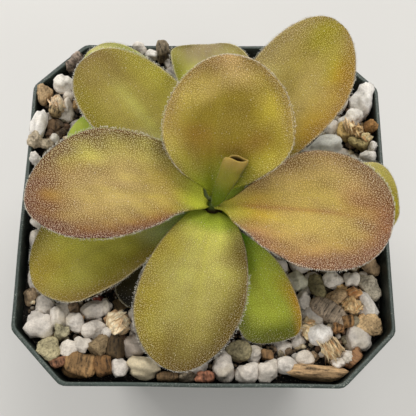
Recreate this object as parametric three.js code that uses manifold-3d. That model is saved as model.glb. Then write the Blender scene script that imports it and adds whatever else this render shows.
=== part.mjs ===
// A butterwort (Pinguicula) rosette growing in a square nursery pot with cut corners.
// Millimetres, +Z up. The origin is the centre of the pot's underside, and the front of
// the plant looks along -Y.

import * as THREE from 'three';
import { mergeVertices } from 'three/addons/utils/BufferGeometryUtils.js';
import Module from 'manifold-3d';

const wasm = await Module();
wasm.setup();

// Pot, a thin moulded shell with a collar below its rim
const potHeight = 67;
const rimHalf = 38;
const cornerCut = 10.2;
const cornerRound = 6;
const roundSteps = 3;
const footHalf = 27.2;
const footBevel = 0.8;
const collarDrop = 8;
const collarStep = 1;
const collarTaper = 1.4;
const wall = 1;
const rimBand = 1.4;
const rimBevel = 0.35;
const floorThickness = 1.6;
const drainRadius = 3;
const drainOffset = 15;
const drainSides = 16;

// Substrate of coarse grains
const fitGap = 0.3;
const groundCentre = -8.6;
const groundEdgeRise = 4.5;
const groundSlopeX = -1.2;
const groundSlopeY = 0.6;
const groundReach = 36;
const coreRings = [0.7, 0.35];
const grainSpacing = 5.6;
const grainRadius = [2.4, 3.2];
const bareRadius = 9;
const grainStand = 0.4;
const leafClearance = 0.5;
const headroom = 10;

// Colours
const potGreen = 0x36463e;
const grainGrey = 0xb8b0a2;
const crownGreen = 0x7d8c34;
const leafOlive = 0x97923a;
const youngLeafOlive = 0x85883a;

// Rosette. Heights of the crown and leaves are measured from the plane of the rim.
const crownX = 1.75;
const crownY = -1.4;
const crownProfile = [[2.4, -13], [2.5, -6.2], [1.9, -5.2], [1.9, 2.6], [1.3, 4.2]];
const crownTop = 4.7;
const crownSides = 14;
const leafStart = 2.5;
const leafRows = 10;
const leafColumns = 8;
const bladeMiddle = 0.95;
const bladeEdge = 0.62;

// A leaf's shape: azimuth it points to, length and width of its blade, height of its base,
// lift at the base and dip at the tip in degrees, and cup, the angle that its margins turn up
// by at the base and at the tip. The widest point, the narrow base, the flare up to the
// widest point and the roundness of the tip are parts of the length or width, or powers.
// sweep bends the midrib to the left, roll turns the tip about the midrib, and the lean
// values make the left side wider, its widest point later and its flare slower.
const commonLeaf = {
  widest: 0.6, narrow: 0.16, flare: 1.4, round: 2.1, sweep: 0, roll: 0,
  widthLean: 0, widestLean: 0, flareLean: 0, cup: [50, 18],
};
const leafList = [
  { name: 'leaf_back_upright', azimuth: 87, length: 27, width: 29, height: 5.3, lift: 42, dip: 24,
    cup: [60, 30], widest: 0.44, narrow: 0.14, flare: 0.8, round: 1.8, sweep: -0.06, roll: -9,
    widthLean: -0.18 },
  { name: 'leaf_left_upper', azimuth: 180, length: 35.5, width: 26.6, height: 3.6, lift: 29,
    dip: -6, cup: [55, 20], narrow: 0.14, flare: 0.93, round: 1.8, sweep: 0.02, roll: 13,
    widthLean: 0.03, flareLean: 0.5 },
  { name: 'leaf_right_upper', azimuth: -12.5, length: 34.3, width: 26.3, height: 3.4, lift: 28,
    dip: -8, cup: [55, 20], widest: 0.57, narrow: 0.08, flare: 1.22, round: 2, sweep: 0.05,
    widthLean: -0.06, widestLean: -0.03, flareLean: 0.2 },
  { name: 'leaf_front', azimuth: 261, length: 33, width: 21.4, height: 1.4, lift: 24, dip: -30,
    cup: [20, 0], widest: 0.58, narrow: 0.4, flare: 0.8, round: 1.8, sweep: -0.03, roll: -14,
    widthLean: -0.05, widestLean: -0.04, flareLean: -0.13 },
  { name: 'leaf_back_left', azimuth: 129, length: 39.2, width: 21, height: 1.8, lift: 20, dip: 1,
    cup: [50, 15], widest: 0.54, narrow: 0.14, round: 2, sweep: 0.02, widestLean: 0.09 },
  { name: 'leaf_back_right', azimuth: 51.5, length: 43.5, width: 22, height: 1.3, lift: 27,
    dip: 13, cup: [50, 25], widest: 0.61, narrow: 0.14, flare: 1.5, round: 1.85, sweep: 0.05,
    roll: 4, widthLean: -0.07, widestLean: -0.03 },
  { name: 'leaf_front_right_low', azimuth: 294.5, length: 28.8, width: 14.5, height: -0.7,
    lift: 16, dip: -26, cup: [35, 0], widest: 0.7, round: 1.9, sweep: 0.14, roll: 10,
    widthLean: -0.12, widestLean: -0.17 },
  { name: 'leaf_front_left_low', azimuth: 199.3, length: 37.2, width: 22.6, height: -0.7, lift: 9,
    dip: -8, cup: [40, 10], widest: 0.66, flare: 1.5, round: 1.85, sweep: 0.06, roll: 3.5,
    widthLean: -0.09, widestLean: 0.02 },
  { name: 'leaf_back_low', azimuth: 88.7, length: 34.7, width: 19.3, height: -0.7, lift: 15,
    dip: 3, cup: [40, 18], widest: 0.74, narrow: 0.11, flare: 2.2, round: 2.7, sweep: 0.05,
    roll: -11, widthLean: -0.09, widestLean: 0.19, flareLean: 0.24 },
  { name: 'leaf_right_lowest', azimuth: 0.6, length: 36.3, width: 19, height: -2.7, lift: 12,
    dip: 1, cup: [25, 18], widest: 0.69, round: 2.2, roll: 1, widestLean: 0.16 },
  { name: 'leaf_back_left_lowest', azimuth: 125.3, length: 43.9, width: 17.5, height: -2.6,
    lift: 13.5, dip: -2, cup: [25, 18], widest: 0.59 },
  { name: 'leaf_left_lowest', azimuth: 149.6, length: 34, width: 18, height: -4.7, lift: 10,
    dip: 3, cup: [20, 18], widest: 0.59, sweep: -0.03 },
  { name: 'leaf_front_left_old', azimuth: 226, length: 24, width: 13, height: -4.5, lift: 3,
    dip: -3, cup: [20, 10] },
];
const leaves = leafList.map((leaf) => ({ ...commonLeaf, ...leaf }));

// Young leaf, still rolled into a tube that leans back over the upright leaf
const rolled = {
  base: [2.8, -1.7, 6.3], azimuth: 56.5, rise: 49, length: 9.8, halfTurn: 158,
  baseSize: [1.25, 1.1], mouthSize: [2.15, 1.65], lipDrop: 0.12, thickness: 0.62,
  rows: 5, columns: 14,
};

// Large grains that stand out at the surface: place, half sizes and the turn about Z
const largeGrains = [
  { at: [-32.6, -24], size: [3.1, 2.9, 2.8], turn: 0 },
  { at: [-28.2, -23.4], size: [2.4, 2.6, 2.6], turn: 30 },
  { at: [-24.6, -26.6], size: [2.7, 2.4, 2.6], turn: 60 },
  { at: [-27.6, -29.6], size: [2.9, 2.2, 2.6], turn: 20 },
  { at: [-22.6, -32.4], size: [4.6, 2.4, 2.6], turn: -15 },
  { at: [-17, -25], size: [2.7, 2.9, 2.6], turn: 40 },
  { at: [-11.6, -33], size: [4, 2.3, 2.4], turn: -20 },
  { at: [8.6, -33.4], size: [2.5, 2.5, 2.6], turn: 10 },
  { at: [14.6, -33], size: [2.9, 2.4, 2.6], turn: 50 },
  { at: [23.2, -33.6], size: [6, 1.9, 2.4], turn: 4 },
  { at: [25.6, -21.2], size: [3.6, 2.2, 2.6], turn: -35 },
  { at: [33.4, 25.4], size: [2.3, 3.1, 3.2], turn: -10 },
  { at: [-33.6, 19.8], size: [1.7, 3.4, 2.6], turn: 8 },
  { at: [-29.2, 28], size: [2.6, 2.5, 2.6], turn: 30 },
  { at: [-11.4, 33.8], size: [2, 1.8, 4.6], turn: 25 },
  { at: [-16.4, 33.6], size: [2.4, 2.2, 2.6], turn: 0 },
];

// Repeatable random numbers from 0 to 1
function seededRandom(seed) {
  let state = seed;
  return () => {
    state = (state + 0x6d2b79f5) | 0;
    let t = Math.imul(state ^ (state >>> 15), 1 | state);
    t = (t + Math.imul(t ^ (t >>> 7), 61 | t)) ^ t;
    return ((t ^ (t >>> 14)) >>> 0) / 4294967296;
  };
}

const radians = THREE.MathUtils.degToRad;
const mix = THREE.MathUtils.lerp;

function geometryFrom(points, faces) {
  const geometry = new THREE.BufferGeometry();
  geometry.setAttribute('position', new THREE.Float32BufferAttribute(points.flat(), 3));
  geometry.setIndex(faces.flat());
  geometry.computeVertexNormals();
  return geometry;
}

function toSolid(geometry) {
  const bare = geometry.clone();
  bare.deleteAttribute('normal');
  bare.deleteAttribute('uv');
  const merged = mergeVertices(bare, 1e-4);
  return new wasm.Manifold(new wasm.Mesh({
    numProp: 3,
    vertProperties: merged.attributes.position.array,
    triVerts: new Uint32Array(merged.index.array),
  }));
}

function fromSolid(solid) {
  const mesh = solid.getMesh();
  const geometry = new THREE.BufferGeometry();
  geometry.setAttribute('position', new THREE.BufferAttribute(mesh.vertProperties, 3));
  geometry.setIndex(new THREE.BufferAttribute(mesh.triVerts, 1));
  geometry.computeVertexNormals();
  return geometry;
}

function namedMesh(name, geometry, color, roughness) {
  const material = new THREE.MeshStandardMaterial({ color, roughness, metalness: 0 });
  const mesh = new THREE.Mesh(geometry, material);
  mesh.name = name;
  return mesh;
}

// Square with cut, rounded corners, counter-clockwise from above. The cuts shrink with the size.
function potOutline(half) {
  const cut = cornerCut * half / rimHalf;
  const radius = cornerRound * half / rimHalf;
  const points = [];
  for (let corner = 0; corner < 8; corner += 1) {
    const turn = Math.PI / 4 * corner;
    // Each corner of the octagon lies between the side at its right and the one at its left
    const sideAngle = Math.PI / 2 * Math.floor((corner + 1) / 2);
    const along = (corner % 2 === 0 ? 1 : -1) * (half - cut);
    const vertex = new THREE.Vector2(half, along).rotateAround(new THREE.Vector2(), sideAngle);
    const bisector = turn + Math.PI / 8;
    const centre = new THREE.Vector2(Math.cos(bisector), Math.sin(bisector))
      .multiplyScalar(-radius / Math.cos(Math.PI / 8)).add(vertex);
    for (let step = 0; step < roundSteps; step += 1) {
      const angle = turn + Math.PI / 4 * step / (roundSteps - 1);
      points.push([centre.x + radius * Math.cos(angle), centre.y + radius * Math.sin(angle)]);
    }
  }
  return points;
}

// Closed solid through rings of equal length, capped at its first and last ring
function loft(rings, firstCentre, lastCentre) {
  const count = rings[0].length;
  const points = rings.flat();
  const faces = [];
  const first = points.push(firstCentre) - 1;
  const last = points.push(lastCentre) - 1;
  const top = (rings.length - 1) * count;
  for (let i = 0; i < count; i += 1) {
    const j = (i + 1) % count;
    faces.push([first, j, i], [last, top + i, top + j]);
    for (let ring = 0; ring < top; ring += count) {
      faces.push([ring + i, ring + j, ring + count + j]);
      faces.push([ring + i, ring + count + j, ring + count + i]);
    }
  }
  return geometryFrom(points, faces);
}

const flatRing = ([z, half]) => potOutline(half).map(([x, y]) => [x, y, z]);

// Outer and inner wall as [height, half width], both going up
const collarFoot = potHeight - collarDrop;
const outerWall = [
  [0, footHalf - footBevel],
  [footBevel, footHalf],
  [collarFoot - 0.4, rimHalf - collarTaper - collarStep],
  [collarFoot, rimHalf - collarTaper],
  [potHeight - 2 * rimBevel, rimHalf],
  [potHeight, rimHalf - rimBevel],
];
const innerWall = [
  [floorThickness, footHalf - wall],
  [collarFoot - wall - 0.2, rimHalf - collarTaper - collarStep - wall],
  [collarFoot + 0.4, rimHalf - collarTaper - wall],
  [potHeight - 2 * rimBevel, rimHalf - rimBand],
  [potHeight, rimHalf - rimBand + rimBevel],
];

function buildPot() {
  const rings = [...outerWall, ...innerWall.toReversed()].map(flatRing);
  let pot = toSolid(loft(rings, [0, 0, 0], [0, 0, floorThickness]));
  for (const [x, y] of [[1, 1], [-1, 1], [-1, -1], [1, -1]]) {
    const drill = new THREE.CylinderGeometry(drainRadius, drainRadius, 4 * floorThickness, drainSides);
    drill.rotateX(Math.PI / 2);
    drill.translate(x * drainOffset, y * drainOffset, 0);
    pot = pot.subtract(toSolid(drill));
  }
  return fromSolid(pot);
}

// Point and unit normal of a leaf's middle surface, at s along it and v across it (-1 to 1)
function leafPoint(leaf, s, v) {
  const start = radians(leaf.lift);
  const bend = radians(leaf.dip) - start;
  const pitch = start + bend * s;
  const reach = leafStart + leaf.length * (Math.sin(pitch) - Math.sin(start)) / bend;
  const height = leaf.height - leaf.length * (Math.cos(pitch) - Math.cos(start)) / bend;
  const side = Math.sign(v);
  const widest = leaf.widest + leaf.widestLean * side;
  const rising = Math.sin(Math.PI / 2 * Math.min(s / widest, 1)) ** (leaf.flare + leaf.flareLean * side);
  const falling = Math.max((s - widest) / (1 - widest), 0);
  const profile = s < widest
    ? mix(leaf.narrow, 1, rising)
    : Math.max(1 - falling ** leaf.round, 0) ** (1 / leaf.round);
  const halfWidth = leaf.width / 2 * (1 + leaf.widthLean * side) * profile;
  const cup = Math.max(radians(mix(leaf.cup[0], leaf.cup[1], s)), 1e-3);
  const flatAcross = halfWidth * Math.sin(cup * v) / cup;
  const flatUp = halfWidth * (1 - Math.cos(cup * v)) / cup;
  const roll = radians(leaf.roll) * s;
  const across = flatAcross * Math.cos(roll) - flatUp * Math.sin(roll) + leaf.length * leaf.sweep * s * s;
  const up = flatAcross * Math.sin(roll) + flatUp * Math.cos(roll);
  const outward = reach - up * Math.sin(pitch);
  const azimuth = radians(leaf.azimuth);
  return new THREE.Vector3(
    crownX + outward * Math.cos(azimuth) - across * Math.sin(azimuth),
    crownY + outward * Math.sin(azimuth) + across * Math.cos(azimuth),
    potHeight + height + up * Math.cos(pitch),
  );
}

function surfaceNormal(surface, s, v) {
  const step = 0.01;
  const along = surface(Math.min(s + step, 1), v).sub(surface(Math.max(s - step, 0), v));
  const across = surface(s, Math.min(v + step, 1)).sub(surface(s, Math.max(v - step, -1)));
  return along.cross(across).normalize();
}

// Closed blade around a surface: an upper and a lower face split into triangles alike, and the
// edge between them. With a pointed tip the last row is a single point on each face.
function bladeSolid(surface, rows, columns, thickness, pointed) {
  const points = [];
  const faces = [];
  const lastRow = pointed ? rows - 1 : rows;
  const rowPlace = (row) => (pointed ? Math.sin(Math.PI / 2 * row / rows) : row / rows);
  for (const face of [0.5, -0.5]) {
    for (let row = 0; row <= lastRow; row += 1) {
      for (let column = 0; column <= columns; column += 1) {
        const s = rowPlace(row);
        const v = 2 * column / columns - 1;
        const normal = surfaceNormal(surface, s, v);
        points.push(surface(s, v).addScaledVector(normal, face * thickness(s, v)).toArray());
      }
    }
    if (pointed) {
      const normal = surfaceNormal(surface, 0.97, 0);
      points.push(surface(1, 0).addScaledVector(normal, face * thickness(1, 0)).toArray());
    }
  }
  const lower = points.length / 2;
  const at = (row, column) => row * (columns + 1) + column;
  const both = (a, b, c) => faces.push([a, b, c], [lower + a, lower + c, lower + b]);
  const edge = (a, b) => faces.push([a, lower + a, lower + b], [a, lower + b, b]);
  for (let column = 0; column < columns; column += 1) {
    for (let row = 0; row < lastRow; row += 1) {
      both(at(row, column), at(row + 1, column), at(row + 1, column + 1));
      both(at(row, column), at(row + 1, column + 1), at(row, column + 1));
    }
    edge(at(0, column + 1), at(0, column));
    if (pointed) {
      both(at(lastRow, column), lower - 1, at(lastRow, column + 1));
    } else {
      edge(at(lastRow, column), at(lastRow, column + 1));
    }
  }
  for (let row = 0; row < lastRow; row += 1) {
    edge(at(row, 0), at(row + 1, 0));
    edge(at(row + 1, columns), at(row, columns));
  }
  if (pointed) {
    edge(at(lastRow, 0), lower - 1);
    edge(lower - 1, at(lastRow, columns));
  }
  return geometryFrom(points, faces);
}

function buildLeaf(leaf) {
  const thickness = (s, v) => mix(bladeMiddle, bladeEdge, v * v * (1 - s) + s);
  return bladeSolid((s, v) => leafPoint(leaf, s, v), leafRows, leafColumns, thickness, true);
}

// The rolled leaf's surface runs round a slightly flattened cone that widens to its mouth
function buildRolledLeaf() {
  const azimuth = radians(rolled.azimuth);
  const rise = radians(rolled.rise);
  const axis = new THREE.Vector3(Math.cos(azimuth) * Math.cos(rise),
    Math.sin(azimuth) * Math.cos(rise), Math.sin(rise));
  const side = new THREE.Vector3(Math.sin(azimuth), -Math.cos(azimuth), 0);
  const back = side.clone().cross(axis);
  const base = new THREE.Vector3(...rolled.base);
  base.z += potHeight;
  const surface = (s, v) => {
    const turn = radians(rolled.halfTurn) * v;
    const wide = mix(rolled.baseSize[0], rolled.mouthSize[0], s) * Math.sin(turn);
    const deep = mix(rolled.baseSize[1], rolled.mouthSize[1], s) * Math.cos(turn);
    const along = rolled.length * s * (1 - rolled.lipDrop * v * v);
    return base.clone().addScaledVector(axis, along).addScaledVector(side, wide)
      .addScaledVector(back, deep);
  };
  return bladeSolid(surface, rolled.rows, rolled.columns, () => rolled.thickness, false);
}

function buildCrown() {
  const profile = [[0, crownProfile[0][1]], ...crownProfile, [0, crownTop]];
  const lathe = new THREE.LatheGeometry(profile.map(([r, z]) => new THREE.Vector2(r, z)), crownSides);
  lathe.rotateX(Math.PI / 2);
  lathe.translate(crownX, crownY, potHeight);
  return fromSolid(toSolid(lathe));
}

// Height of the core that the grains are sunk in: lowest under the rosette, rising to the wall
function coreHeight(x, y) {
  const fromCentre = Math.min(Math.hypot(x, y) / groundReach, 1);
  return potHeight + groundCentre + groundEdgeRise * fromCentre ** 2
    + (groundSlopeX * x + groundSlopeY * y) / groundReach;
}

// Undersides of all leaves as loose points, to keep the grains below them
function leafUndersides() {
  const points = [];
  for (const leaf of leaves) {
    for (let s = 0; s <= 1; s += 0.04) {
      for (let v = -1; v <= 1; v += 0.125) {
        const point = leafPoint(leaf, s, v);
        point.z -= bladeMiddle / 2;
        points.push(point);
      }
    }
  }
  return points;
}

// A rough grain: a twenty-sided stone, stretched and turned
function grain(centre, size, rotation) {
  const stone = new THREE.IcosahedronGeometry(1, 0);
  const matrix = new THREE.Matrix4().compose(
    new THREE.Vector3(...centre),
    new THREE.Quaternion().setFromEuler(rotation),
    new THREE.Vector3(...size),
  );
  stone.applyMatrix4(matrix);
  return toSolid(stone);
}

function scatteredGrains() {
  const random = seededRandom(20);
  const undersides = leafUndersides();
  const between = ([low, high]) => mix(low, high, random());
  const grains = [];
  const rowSpacing = grainSpacing * Math.sqrt(3) / 2;
  const rows = Math.ceil(rimHalf / rowSpacing);
  for (let row = -rows; row <= rows; row += 1) {
    for (let column = -rows; column <= rows; column += 1) {
      const x = (column + (row % 2) / 2 + 0.5 * (random() - 0.5)) * grainSpacing;
      const y = (row + 0.5 * (random() - 0.5)) * rowSpacing;
      const radius = between(grainRadius);
      const size = [radius, radius * between([0.8, 1.1]), radius * between([0.75, 1])];
      const rotation = new THREE.Euler(random() * 0.8, random() * 0.8, random() * Math.PI);
      const outside = Math.max(Math.abs(x), Math.abs(y)) > groundReach;
      const beyondCut = Math.abs(x) + Math.abs(y) > 2 * groundReach - cornerCut;
      const underLarge = largeGrains.some(({ at }) => Math.hypot(x - at[0], y - at[1]) < grainSpacing / 2);
      const underCrown = Math.hypot(x - crownX, y - crownY) < bareRadius;
      if (outside || beyondCut || underLarge || underCrown) {
        continue;
      }
      const ceiling = undersides
        .filter((point) => Math.hypot(point.x - x, point.y - y) < radius + 1)
        .reduce((lowest, point) => Math.min(lowest, point.z), Infinity);
      const rest = coreHeight(x, y) + grainStand * radius;
      grains.push(grain([x, y, Math.min(rest, ceiling - radius * 1.1 - leafClearance)], size, rotation));
    }
  }
  return grains;
}

// Substrate: a dished core, the grains sunk into it, all trimmed to the inside of the pot,
// with a plain hole for the crown
function buildSoil() {
  const bottom = [0, 0, floorThickness + fitGap];
  const insideRings = innerWall.map(([z, half]) => flatRing([z + fitGap, half - fitGap]));
  const coreRing = (half) => potOutline(half).map(([x, y]) => [x, y, coreHeight(x, y)]);
  const surfaceHalf = innerWall[2][1] - fitGap;
  const coreSurface = [1, ...coreRings].map((scale) => coreRing(surfaceHalf * scale));
  let soil = toSolid(loft([insideRings[0], insideRings[1], ...coreSurface], bottom,
    [0, 0, coreHeight(0, 0)]));

  const large = largeGrains.map(({ at, size, turn }) => grain(
    [...at, coreHeight(...at) + grainStand * size[2]], size, new THREE.Euler(0, 0, radians(turn))));
  for (const stone of [...large, ...scatteredGrains()]) {
    soil = soil.add(stone);
  }

  const above = potHeight + headroom;
  insideRings.push(flatRing([above, rimHalf - rimBand - fitGap]));
  soil = soil.intersect(toSolid(loft(insideRings, bottom, [0, 0, above])));

  const holeRadius = Math.max(...crownProfile.map(([r]) => r)) + fitGap;
  const holeFoot = crownProfile[0][1] - fitGap;
  const hole = new THREE.CylinderGeometry(holeRadius, holeRadius, -holeFoot, crownSides);
  hole.rotateX(Math.PI / 2);
  hole.translate(crownX, crownY, potHeight + holeFoot / 2);
  // Grains cut loose by the wall or the hole are dropped
  const bodies = soil.subtract(toSolid(hole)).decompose();
  return fromSolid(bodies.reduce((a, b) => (a.volume() > b.volume() ? a : b)));
}

const butterwort = new THREE.Group();
butterwort.add(namedMesh('pot', buildPot(), potGreen, 0.6));
butterwort.add(namedMesh('soil', buildSoil(), grainGrey, 0.95));
butterwort.add(namedMesh('crown', buildCrown(), crownGreen, 0.6));
for (const leaf of leaves) {
  butterwort.add(namedMesh(leaf.name, buildLeaf(leaf), leafOlive, 0.5));
}
butterwort.add(namedMesh('leaf_young_rolled', buildRolledLeaf(), youngLeafOlive, 0.5));

export default butterwort;
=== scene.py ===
# A butterwort rosette in its square nursery pot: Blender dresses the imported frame.
import bpy
import bmesh
import numpy as np
from mathutils import Matrix


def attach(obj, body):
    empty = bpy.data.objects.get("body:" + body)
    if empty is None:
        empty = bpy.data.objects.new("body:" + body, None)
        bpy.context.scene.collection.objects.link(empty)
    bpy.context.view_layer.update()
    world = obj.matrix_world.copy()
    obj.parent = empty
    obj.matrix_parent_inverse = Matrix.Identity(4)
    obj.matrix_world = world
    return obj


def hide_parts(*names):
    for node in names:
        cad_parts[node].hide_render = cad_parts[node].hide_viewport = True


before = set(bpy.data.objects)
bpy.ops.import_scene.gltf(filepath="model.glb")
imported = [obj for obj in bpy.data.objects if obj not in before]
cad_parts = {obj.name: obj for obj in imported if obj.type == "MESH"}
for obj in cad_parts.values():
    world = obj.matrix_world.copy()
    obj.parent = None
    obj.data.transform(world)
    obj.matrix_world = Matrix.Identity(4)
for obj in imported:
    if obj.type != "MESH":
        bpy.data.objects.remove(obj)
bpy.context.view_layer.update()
mm = 0.001
nearest = 2e-6  # m: points closer than this are one
print("frame loaded:", len(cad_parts), "nodes")


# sRGB hex to linear: under 0.04045 it is divided by 12.92, over it ((c + 0.055) / 1.055) to the power 2.4
def hexColour(text):
    srgb = np.array([int(text[i:i + 2], 16) for i in (1, 3, 5)]) / 255
    return np.where(srgb <= 0.04045, srgb / 12.92, ((srgb + 0.055) / 1.055) ** 2.4)


# a node's settings and links: a key is a socket's name or number, or a property; "range" gives a Map
# Range its four limits and "stops" a ramp its colours; a node or an output given as value is linked
# in, and a text that starts with # is a colour
def setNode(node, settings):
    for key, value in settings.items():
        if isinstance(value, bpy.types.Node):
            value = next(output for output in value.outputs if output.enabled)
        if isinstance(value, str) and value.startswith("#"):
            value = (*hexColour(value), 1)
        if isinstance(value, bpy.types.NodeSocket):
            node.id_data.links.new(value, node.inputs[key])
        elif key == "range":
            for i, limit in enumerate(value, 1):
                node.inputs[i].default_value = limit
        elif key == "stops":
            ramp = node.color_ramp.elements
            while len(ramp) < len(value):
                ramp.new(0.5)
            for stop, (place, colour) in zip(ramp, value):
                stop.position = place
                stop.color = (*(hexColour(colour) if isinstance(colour, str) else [colour] * 3), 1)
        elif isinstance(key, int) or key in node.inputs:
            node.inputs[key].default_value = value
        else:
            setattr(node, key, value)
    return node


# adds a node, its kind followed by its operation where it has one; a Mix is always one of colours
def addNode(tree, kind, settings):
    kind, *operation = kind.split()
    node = tree.nodes.new("ShaderNode" + kind)
    if kind == "Mix":
        node.data_type = "RGBA"
    for word in operation:
        setattr(node, "blend_type" if kind == "Mix" else "operation", word)
    return setNode(node, settings)


# a bare material with its surface shader, and Object coordinates turned to millimetres
def startMaterial(name, finish):
    material = bpy.data.materials.new(name)
    material.use_nodes = True
    tree = material.node_tree
    tree.nodes.clear()
    surface = addNode(tree, "BsdfPrincipled", finish)
    addNode(tree, "OutputMaterial", {"Surface": surface})
    coords = addNode(tree, "TexCoord", {}).outputs["Object"]
    place = addNode(tree, "VectorMath SCALE", {"Scale": 1 / mm, 0: coords})
    return material, tree, surface, place


# points in mm and lists of faces to a piece that rides on the part, with its place in its mesh; tint
# is a colour for each point, with 1 as its alpha where it has none
def buildPiece(name, points, faces, material, replaced=(), tint=None, ownPlace=None, weld=False):
    sizes = np.concatenate([np.full(len(f), f.shape[1]) for f in faces])
    corners = np.concatenate([f.ravel() for f in faces]).astype(np.int32)
    mesh = bpy.data.meshes.new(name)
    mesh.vertices.add(len(points))
    mesh.vertices.foreach_set("co", (points * mm).astype(np.float32).ravel())
    mesh.loops.add(len(corners))
    mesh.loops.foreach_set("vertex_index", corners)
    mesh.polygons.add(len(sizes))
    mesh.polygons.foreach_set("loop_start", (np.cumsum(sizes) - sizes).astype(np.int32))
    mesh.update(calc_edges=True)
    if tint is not None:
        tint = np.c_[tint, np.ones((len(tint), 4 - tint.shape[1]))]
        data = mesh.color_attributes.new(name="tint", type="FLOAT_COLOR", domain="POINT").data
        data.foreach_set("color", tint.astype(np.float32).ravel())
    if ownPlace is not None:
        data = mesh.attributes.new("ownPlace", "FLOAT_VECTOR", "POINT").data
        data.foreach_set("vector", ownPlace.astype(np.float32).ravel())
    if weld:
        work = bmesh.new()
        work.from_mesh(mesh)
        bmesh.ops.remove_doubles(work, verts=work.verts, dist=nearest)
        bmesh.ops.dissolve_degenerate(work, edges=work.edges, dist=nearest / 20)
        bmesh.ops.recalc_face_normals(work, faces=work.faces)
        work.to_mesh(mesh)
        work.free()
    mesh.validate()
    mesh.polygons.foreach_set("use_smooth", np.ones(len(mesh.polygons), bool))
    mesh.materials.append(material)
    piece = bpy.data.objects.new(name, mesh)
    bpy.context.collection.objects.link(piece)
    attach(piece, "root")
    if replaced:
        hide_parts(*replaced)
    return piece


# soft unevenness: sine waves of about one length in random directions, added, to a spread of 1
def ripple(points, wavelength, seed, waves=8):
    rng = np.random.default_rng(seed)
    directions = rng.normal(size=(waves, 3))
    directions *= (rng.uniform(0.75, 1.35, waves) / np.linalg.norm(directions, axis=1))[:, None]
    phases = rng.uniform(0, 2 * np.pi, waves)
    return np.sin(points @ directions.T * (2 * np.pi / wavelength) + phases).sum(-1) / np.sqrt(waves / 2)


def smooth(value, low, high):  # 0 below low, 1 above high, 3t^2 - 2t^3 between
    t = np.clip((value - low) / (high - low), 0, 1)
    return t * t * (3 - 2 * t)


def unit(vectors):  # divided by their lengths
    return vectors / np.maximum(np.linalg.norm(vectors, axis=-1, keepdims=True), 1e-12)


def mix(a, b, t):  # a + t (b - a)
    return a + (b - a) * t


# the direction at an azimuth and an elevation, both in degrees
def pointing(azimuth, elevation):
    turn, rise = np.radians(azimuth), np.radians(elevation)
    return np.array([np.cos(turn) * np.cos(rise), np.sin(turn) * np.cos(rise), np.sin(rise)])


# quads of a grid of points with rows and columns, numbered row by row
def gridQuads(rows, columns, closed=False):
    i, j = np.meshgrid(np.arange(rows - 1), np.arange(columns if closed else columns - 1), indexing="ij")
    k = (j + 1) % columns
    return np.stack([i * columns + j, i * columns + k, (i + 1) * columns + k, (i + 1) * columns + j],
                    -1).reshape(-1, 4)


# faces of a stack of rings: quads between them, and fans to the two points that come after the rings,
# one under the first ring and one over the last
def ringFaces(rows, columns):
    ring = np.arange(columns)
    after = (ring + 1) % columns
    last, count = (rows - 1) * columns, rows * columns
    under = np.stack([np.full(columns, count), after, ring], -1)
    over = np.stack([np.full(columns, count + 1), last + ring, last + after], -1)
    return [gridQuads(rows, columns, closed=True), under, over]


# camera, light and floor

view = {
    "place": (2.408, -61.375, 223.98), "target": (0.805, -1.246, 67), "roll": -0.955,  # mm, degrees
    "lens": 69.94, "sensor": 36, "nearest": 5,  # mm
}


# an object whose X, Y and Z lie along right, up and back, at a place in metres
def addObject(name, data, right, up, back, place):
    thing = bpy.data.objects.new(name, data)
    thing.matrix_world = Matrix(np.vstack([np.c_[right, up, back, place], (0, 0, 0, 1)]).tolist())
    bpy.context.collection.objects.link(thing)
    return thing


# the camera looks from its place to its target, turned by roll about that line
def addCamera():
    place, target = np.array(view["place"]), np.array(view["target"])
    ahead = unit(target - place)
    flat = unit(np.cross(ahead, (0, 0, 1)))
    upright = np.cross(flat, ahead)
    roll = np.radians(view["roll"])
    right = np.cos(roll) * flat + np.sin(roll) * upright
    up = np.cos(roll) * upright - np.sin(roll) * flat
    data = bpy.data.cameras.new("camera")
    data.lens = view["lens"]
    data.sensor_width = view["sensor"]
    data.clip_start = view["nearest"] * mm
    bpy.context.scene.camera = addObject("camera", data, right, up, -ahead, place * mm)


studio = {
    # softboxes round the plant: azimuth and elevation in degrees, power in watts
    "lamps": {"backRight": (60, 62, 1.86), "backLeft": (135, 36, 1.54), "frontRight": (315, 36, 0.6),
              "frontLeft": (250, 36, 0.56), "overhead": (180, 75, 0.22)},
    "distance": 0.6, "size": 0.36, "aim": (0, 0, 0.06), "colour": "#FFFDFA",  # m
    "world": "#F3F2F0", "worldStrength": 0.4,
    "card": ("#D5D4D1", "#DAD9D6"), "cloud": 60, "floorSize": 3.0,  # cloudiness in mm, floor in m
}


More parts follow.
